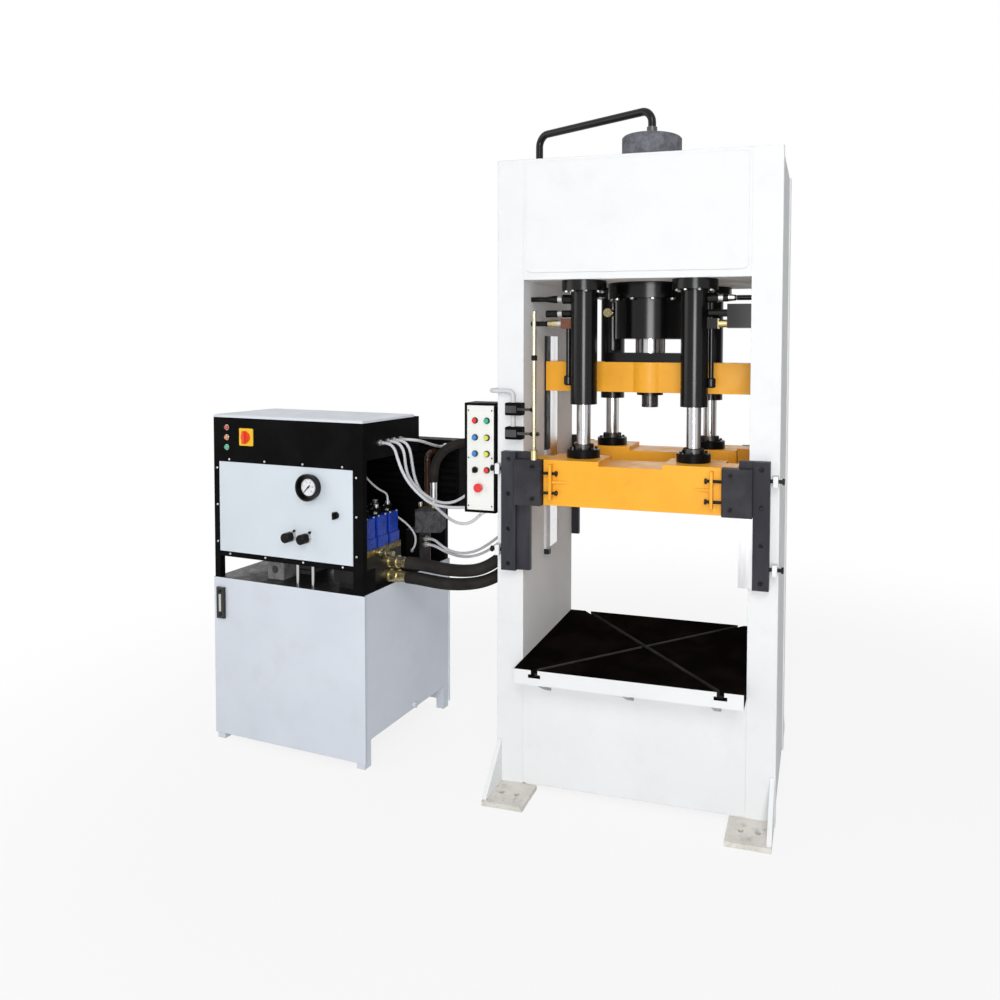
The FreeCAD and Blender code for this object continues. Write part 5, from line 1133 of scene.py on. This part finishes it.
@dataclass(frozen=True)
class UnitScrews:
    """Screws of the power unit, in its own frame."""

    top: float = 1.430
    bottom: float = 0.955
    columns: tuple[float, ...] = (-0.802, -0.579, -0.347, -0.115)
    posts: tuple[float, float] = (-0.881, -0.036)
    post_levels: tuple[float, ...] = (1.384, 1.199, 1.012)
    frame_head: float = 0.006
    coil_middle: float = -0.113
    coil_reach: tuple[float, float] = (0.0705, 0.026)
    coil_head: float = 0.0055
    filter_centre: tuple[float, float] = (0.020, 0.500)
    filter_circle: float = 0.068
    filter_turns: tuple[float, ...] = (65.0, 155.0, 245.0, 335.0)
    filter_top: float = 1.150
    filter_head: float = 0.006
    gauge_u: float = -0.860
    gauge_face: float = -0.014
    gauge_levels: tuple[float, float] = (0.644, 0.762)
    gauge_head: float = 0.007

    def build(self, screws: Fastening) -> None:
        """Make the screws of the power unit.

        Args:
            screws: maker of screw heads.
        """
        spots = [(u, z) for u in self.columns for z in (self.top, self.bottom)]
        spots += [(u, z) for u in self.posts for z in self.post_levels]
        screws.row("unit_frame_screws", Head.DOME, "zinc", [
            (on_unit(u, 0.0, z), UNIT_FRONT, self.frame_head) for u, z in spots])
        half_u, half_v = self.coil_reach
        screws.row("valve_screws", Head.SOCKET, "zinc", [
            (on_unit(self.coil_middle + u, v + w, COIL_TOP), UP, self.coil_head)
            for u in (-half_u, half_u) for v in COIL_ROWS for w in (-half_v, half_v)])
        (u, v), radius = self.filter_centre, self.filter_circle
        screws.row("filter_head_bolts", Head.SOCKET, "black_oxide", [
            (on_unit(u + radius * math.cos(turn), v + radius * math.sin(turn), self.filter_top),
             UP, self.filter_head) for turn in map(math.radians, self.filter_turns)])
        screws.row("level_gauge_bolts", Head.HEX, "black_oxide", [
            (on_unit(self.gauge_u, self.gauge_face, z), UNIT_FRONT, self.gauge_head)
            for z in self.gauge_levels])


@dataclass(frozen=True)
class GaugeFace:
    """White dial, marks and plain numbers of the pressure gauge."""

    u: float = -0.295
    z: float = 1.326
    face: float = -0.0212
    radius: float = 0.041
    stem: float = 0.0047
    thick: float = 0.0007
    highest: int = 25
    first_angle: float = 225.0
    sweep: float = 270.0
    rim_width: float = 0.0006
    ink: float = 0.0003
    back: float = 0.0002            # depth of the dial behind the face
    mark_front: float = 0.0005      # marks and numbers in front of the face
    number_front: float = 0.0007
    mark_share: float = 0.93        # outer ends of the marks and middles of the numbers, of the radius
    number_share: float = 0.60
    long_mark: tuple[float, float] = (0.0006, 0.006)        # half width and length
    short_mark: tuple[float, float] = (0.00035, 0.0035)
    number_step: int = 5
    number_height: float = 0.0095

    def spot(self, share: float, radius: float) -> tuple[float, float]:
        """Place on the dial of a share of its scale, clockwise from lower left."""
        angle = math.radians(self.first_angle - self.sweep * share)
        return self.u + radius * math.cos(angle), self.z + radius * math.sin(angle)

    def dial(self) -> None:
        """White dial with a hole for the needle's stem."""
        shape = Solid()
        shape.turned((self.u, self.face + self.back, self.z), FRONT, (
            (self.stem, 0.0), (self.radius, 0.0), (self.radius, self.thick), (self.stem, self.thick)),
            48, True)
        shape.piece("gauge_dial", "dial_white")

    def marks(self) -> None:
        """Black marks of the scale and its rim line."""
        shape = Solid()
        front, outer = self.face - self.mark_front, self.radius * self.mark_share
        for value in range(self.highest + 1):
            half, length = self.short_mark if value % self.number_step else self.long_mark
            share = value / self.highest
            first, last = self.spot(share, outer - length), self.spot(share, outer)
            side = Vector((last[1] - first[1], 0.0, first[0] - last[0])).normalized() * half
            ends = [Vector((p[0], 0.0, p[1])) + s for p, s in (
                (first, -side), (last, -side), (last, side), (first, side))]
            shape.skin([[p + Vector((0, front, 0)) for p in ends],
                        [p + Vector((0, front - self.ink, 0)) for p in ends]])
        rim = outer + self.rim_width
        shape.turned((self.u, front, self.z), FRONT,
                     ((outer, 0.0), (rim, 0.0), (rim, self.ink), (outer, self.ink)), 64, True)
        shape.piece("gauge_marks", "ink")

    def numbers(self) -> None:
        """Plain numbers at the long marks."""
        shape = Solid()
        for value in range(0, self.highest + 1, self.number_step):
            u, z = self.spot(value / self.highest, self.radius * self.number_share)
            text = bpy.data.curves.new("number", "FONT")
            text.body = str(value)
            text.size = self.number_height
            text.align_x, text.align_y = "CENTER", "CENTER"
            text.extrude = self.ink / 2
            text.resolution_u = 2
            maker = put("number", text)
            flat = bpy.data.meshes.new_from_object(
                maker.evaluated_get(bpy.context.evaluated_depsgraph_get()))
            place = Matrix.Translation((u, self.face - self.number_front, z))
            flat.transform(place @ Matrix.Rotation(math.pi / 2, 4, "X"))
            shape.bm.from_mesh(flat)
            bpy.data.objects.remove(maker)
            bpy.data.curves.remove(text)
            bpy.data.meshes.remove(flat)
        shape.piece("gauge_numbers", "ink")

    def build(self) -> None:
        """Make the dial."""
        self.dial()
        self.marks()
        self.numbers()


@dataclass(frozen=True)
class SwitchRollers:
    """Black roller on the end of each limit switch lever."""

    tip: float = -0.445
    front: float = -0.3925
    radius: float = 0.009
    width: float = 0.0048
    chamfer: float = 0.0006
    pin: float = 0.0004
    levels: tuple[tuple[str, float], ...] = (("upper", 1.724), ("lower", 1.617))

    def build(self) -> None:
        """Make the two rollers."""
        edge, hub = self.radius * 0.9, self.radius * 0.4
        for name, level in self.levels:
            shape = Solid()
            shape.turned((self.tip, self.front, level), FRONT, (
                (edge, 0.0), (self.radius, self.chamfer), (self.radius, self.width - self.chamfer),
                (edge, self.width), (hub, self.width), (hub, self.width + self.pin)))
            shape.piece(name + "_roller", "black_cap", name + "_switch_lever_body", unit=False)


@dataclass(frozen=True)
class UnitTrim:
    """Small trim of the power unit, in its own frame."""

    coil_columns: tuple[float, float] = (-0.1505, -0.0755)
    coil_front: float = 0.021
    plug_half: float = 0.014
    plug_depth: float = 0.024
    plug_foot: float = 0.004
    plug_top: float = 0.032
    plug_back: float = 0.0002
    plug_bevel: float = 0.002
    lid_inset: float = 0.003
    lid_thick: float = 0.004
    lid_bevel: float = 0.001
    nut_place: tuple[float, float] = (0.013, 0.016)         # behind the coil's front, above its top
    nut: tuple[tuple[float, float], ...] = (
        (0.0075, 0.0), (0.0075, 0.005), (0.006, 0.0055), (0.006, 0.012), (0.0045, 0.0135))
    screw_back: float = 0.012
    screw: tuple[tuple[float, float], ...] = ((0.003, 0.0), (0.003, 0.0015), (0.002, 0.002))
    window_u: tuple[float, float] = (-0.867, -0.853)
    window_v: tuple[float, float] = (-0.0150, -0.0138)
    window_z: tuple[float, float] = (0.659, 0.747)
    window_bevel: float = 0.0005
    flange_u: tuple[float, float] = (-0.500, -0.4502)
    flange_v: tuple[float, float] = (0.652, 0.774)
    flange_z: tuple[float, float] = (0.8295, 1.494)
    flange_bevel: float = 0.003

    def connectors(self) -> None:
        """Black plugs on the front of the coils, with a pale cable nut and a screw each."""
        plugs, nuts = Solid(), Solid()
        half, inset, top = self.plug_half, self.lid_inset, COIL_TOP + self.plug_top
        nut_back, nut_up = self.nut_place
        for u in self.coil_columns:
            for v in COIL_ROWS:
                front = v - self.coil_front
                back = front - self.plug_depth
                plugs.box((u - half, back, COIL_TOP + self.plug_foot),
                          (u + half, front - self.plug_back, top), self.plug_bevel)
                plugs.box((u - half + inset, back + inset, top),
                          (u + half - inset, front - inset, top + self.lid_thick), self.lid_bevel)
                nuts.turned((u + half, front - nut_back, COIL_TOP + nut_up), RIGHT, self.nut, 20)
                nuts.turned((u, front - self.screw_back, top + self.lid_thick), UP, self.screw, 16)
        plugs.piece("coil_plugs", "black_satin")
        nuts.piece("coil_plug_nuts", "zinc")

    def sight(self) -> None:
        """Pale window of the level gauge."""
        shape = Solid()
        shape.box(*zip(self.window_u, self.window_v, self.window_z), self.window_bevel)
        shape.piece("level_window", "sight_glass")

    def flange(self) -> None:
        """Folded sheet flange on the left end of the oil cooler."""
        shape = Solid()
        shape.box(*zip(self.flange_u, self.flange_v, self.flange_z), self.flange_bevel)
        shape.piece("cooler_flange", "black_satin")

    def build(self) -> None:
        """Make the trim."""
        self.connectors()
        self.sight()
        self.flange()


def dress_nodes() -> None:
    """Give every rigid CAD node its finish."""
    for finish, nodes in FINISH_NODES.items():
        for node in nodes:
            zones = NODE_ZONES.get(node)
            skin = Finishes.listed[finish].build(node + "_skin", zones) if zones else Finishes.of(finish)
            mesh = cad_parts[node].data
            mesh.materials.clear()
            mesh.materials.append(skin)
            LOG.info("dressed %s with %s", node, finish)


def main() -> None:
    """Build the studio, then dress the press and its power unit."""
    logging.basicConfig(level=logging.INFO, format="%(name)s: %(message)s")
    Studio().build()
    dress_nodes()
    Cords().build()
    screws = Fastening()
    PressScrews().build(screws)
    UnitScrews().build(screws)
    screws.close()
    SwitchRollers().build()
    GaugeFace().build()
    UnitTrim().build()


if __name__ == "__main__":
    main()
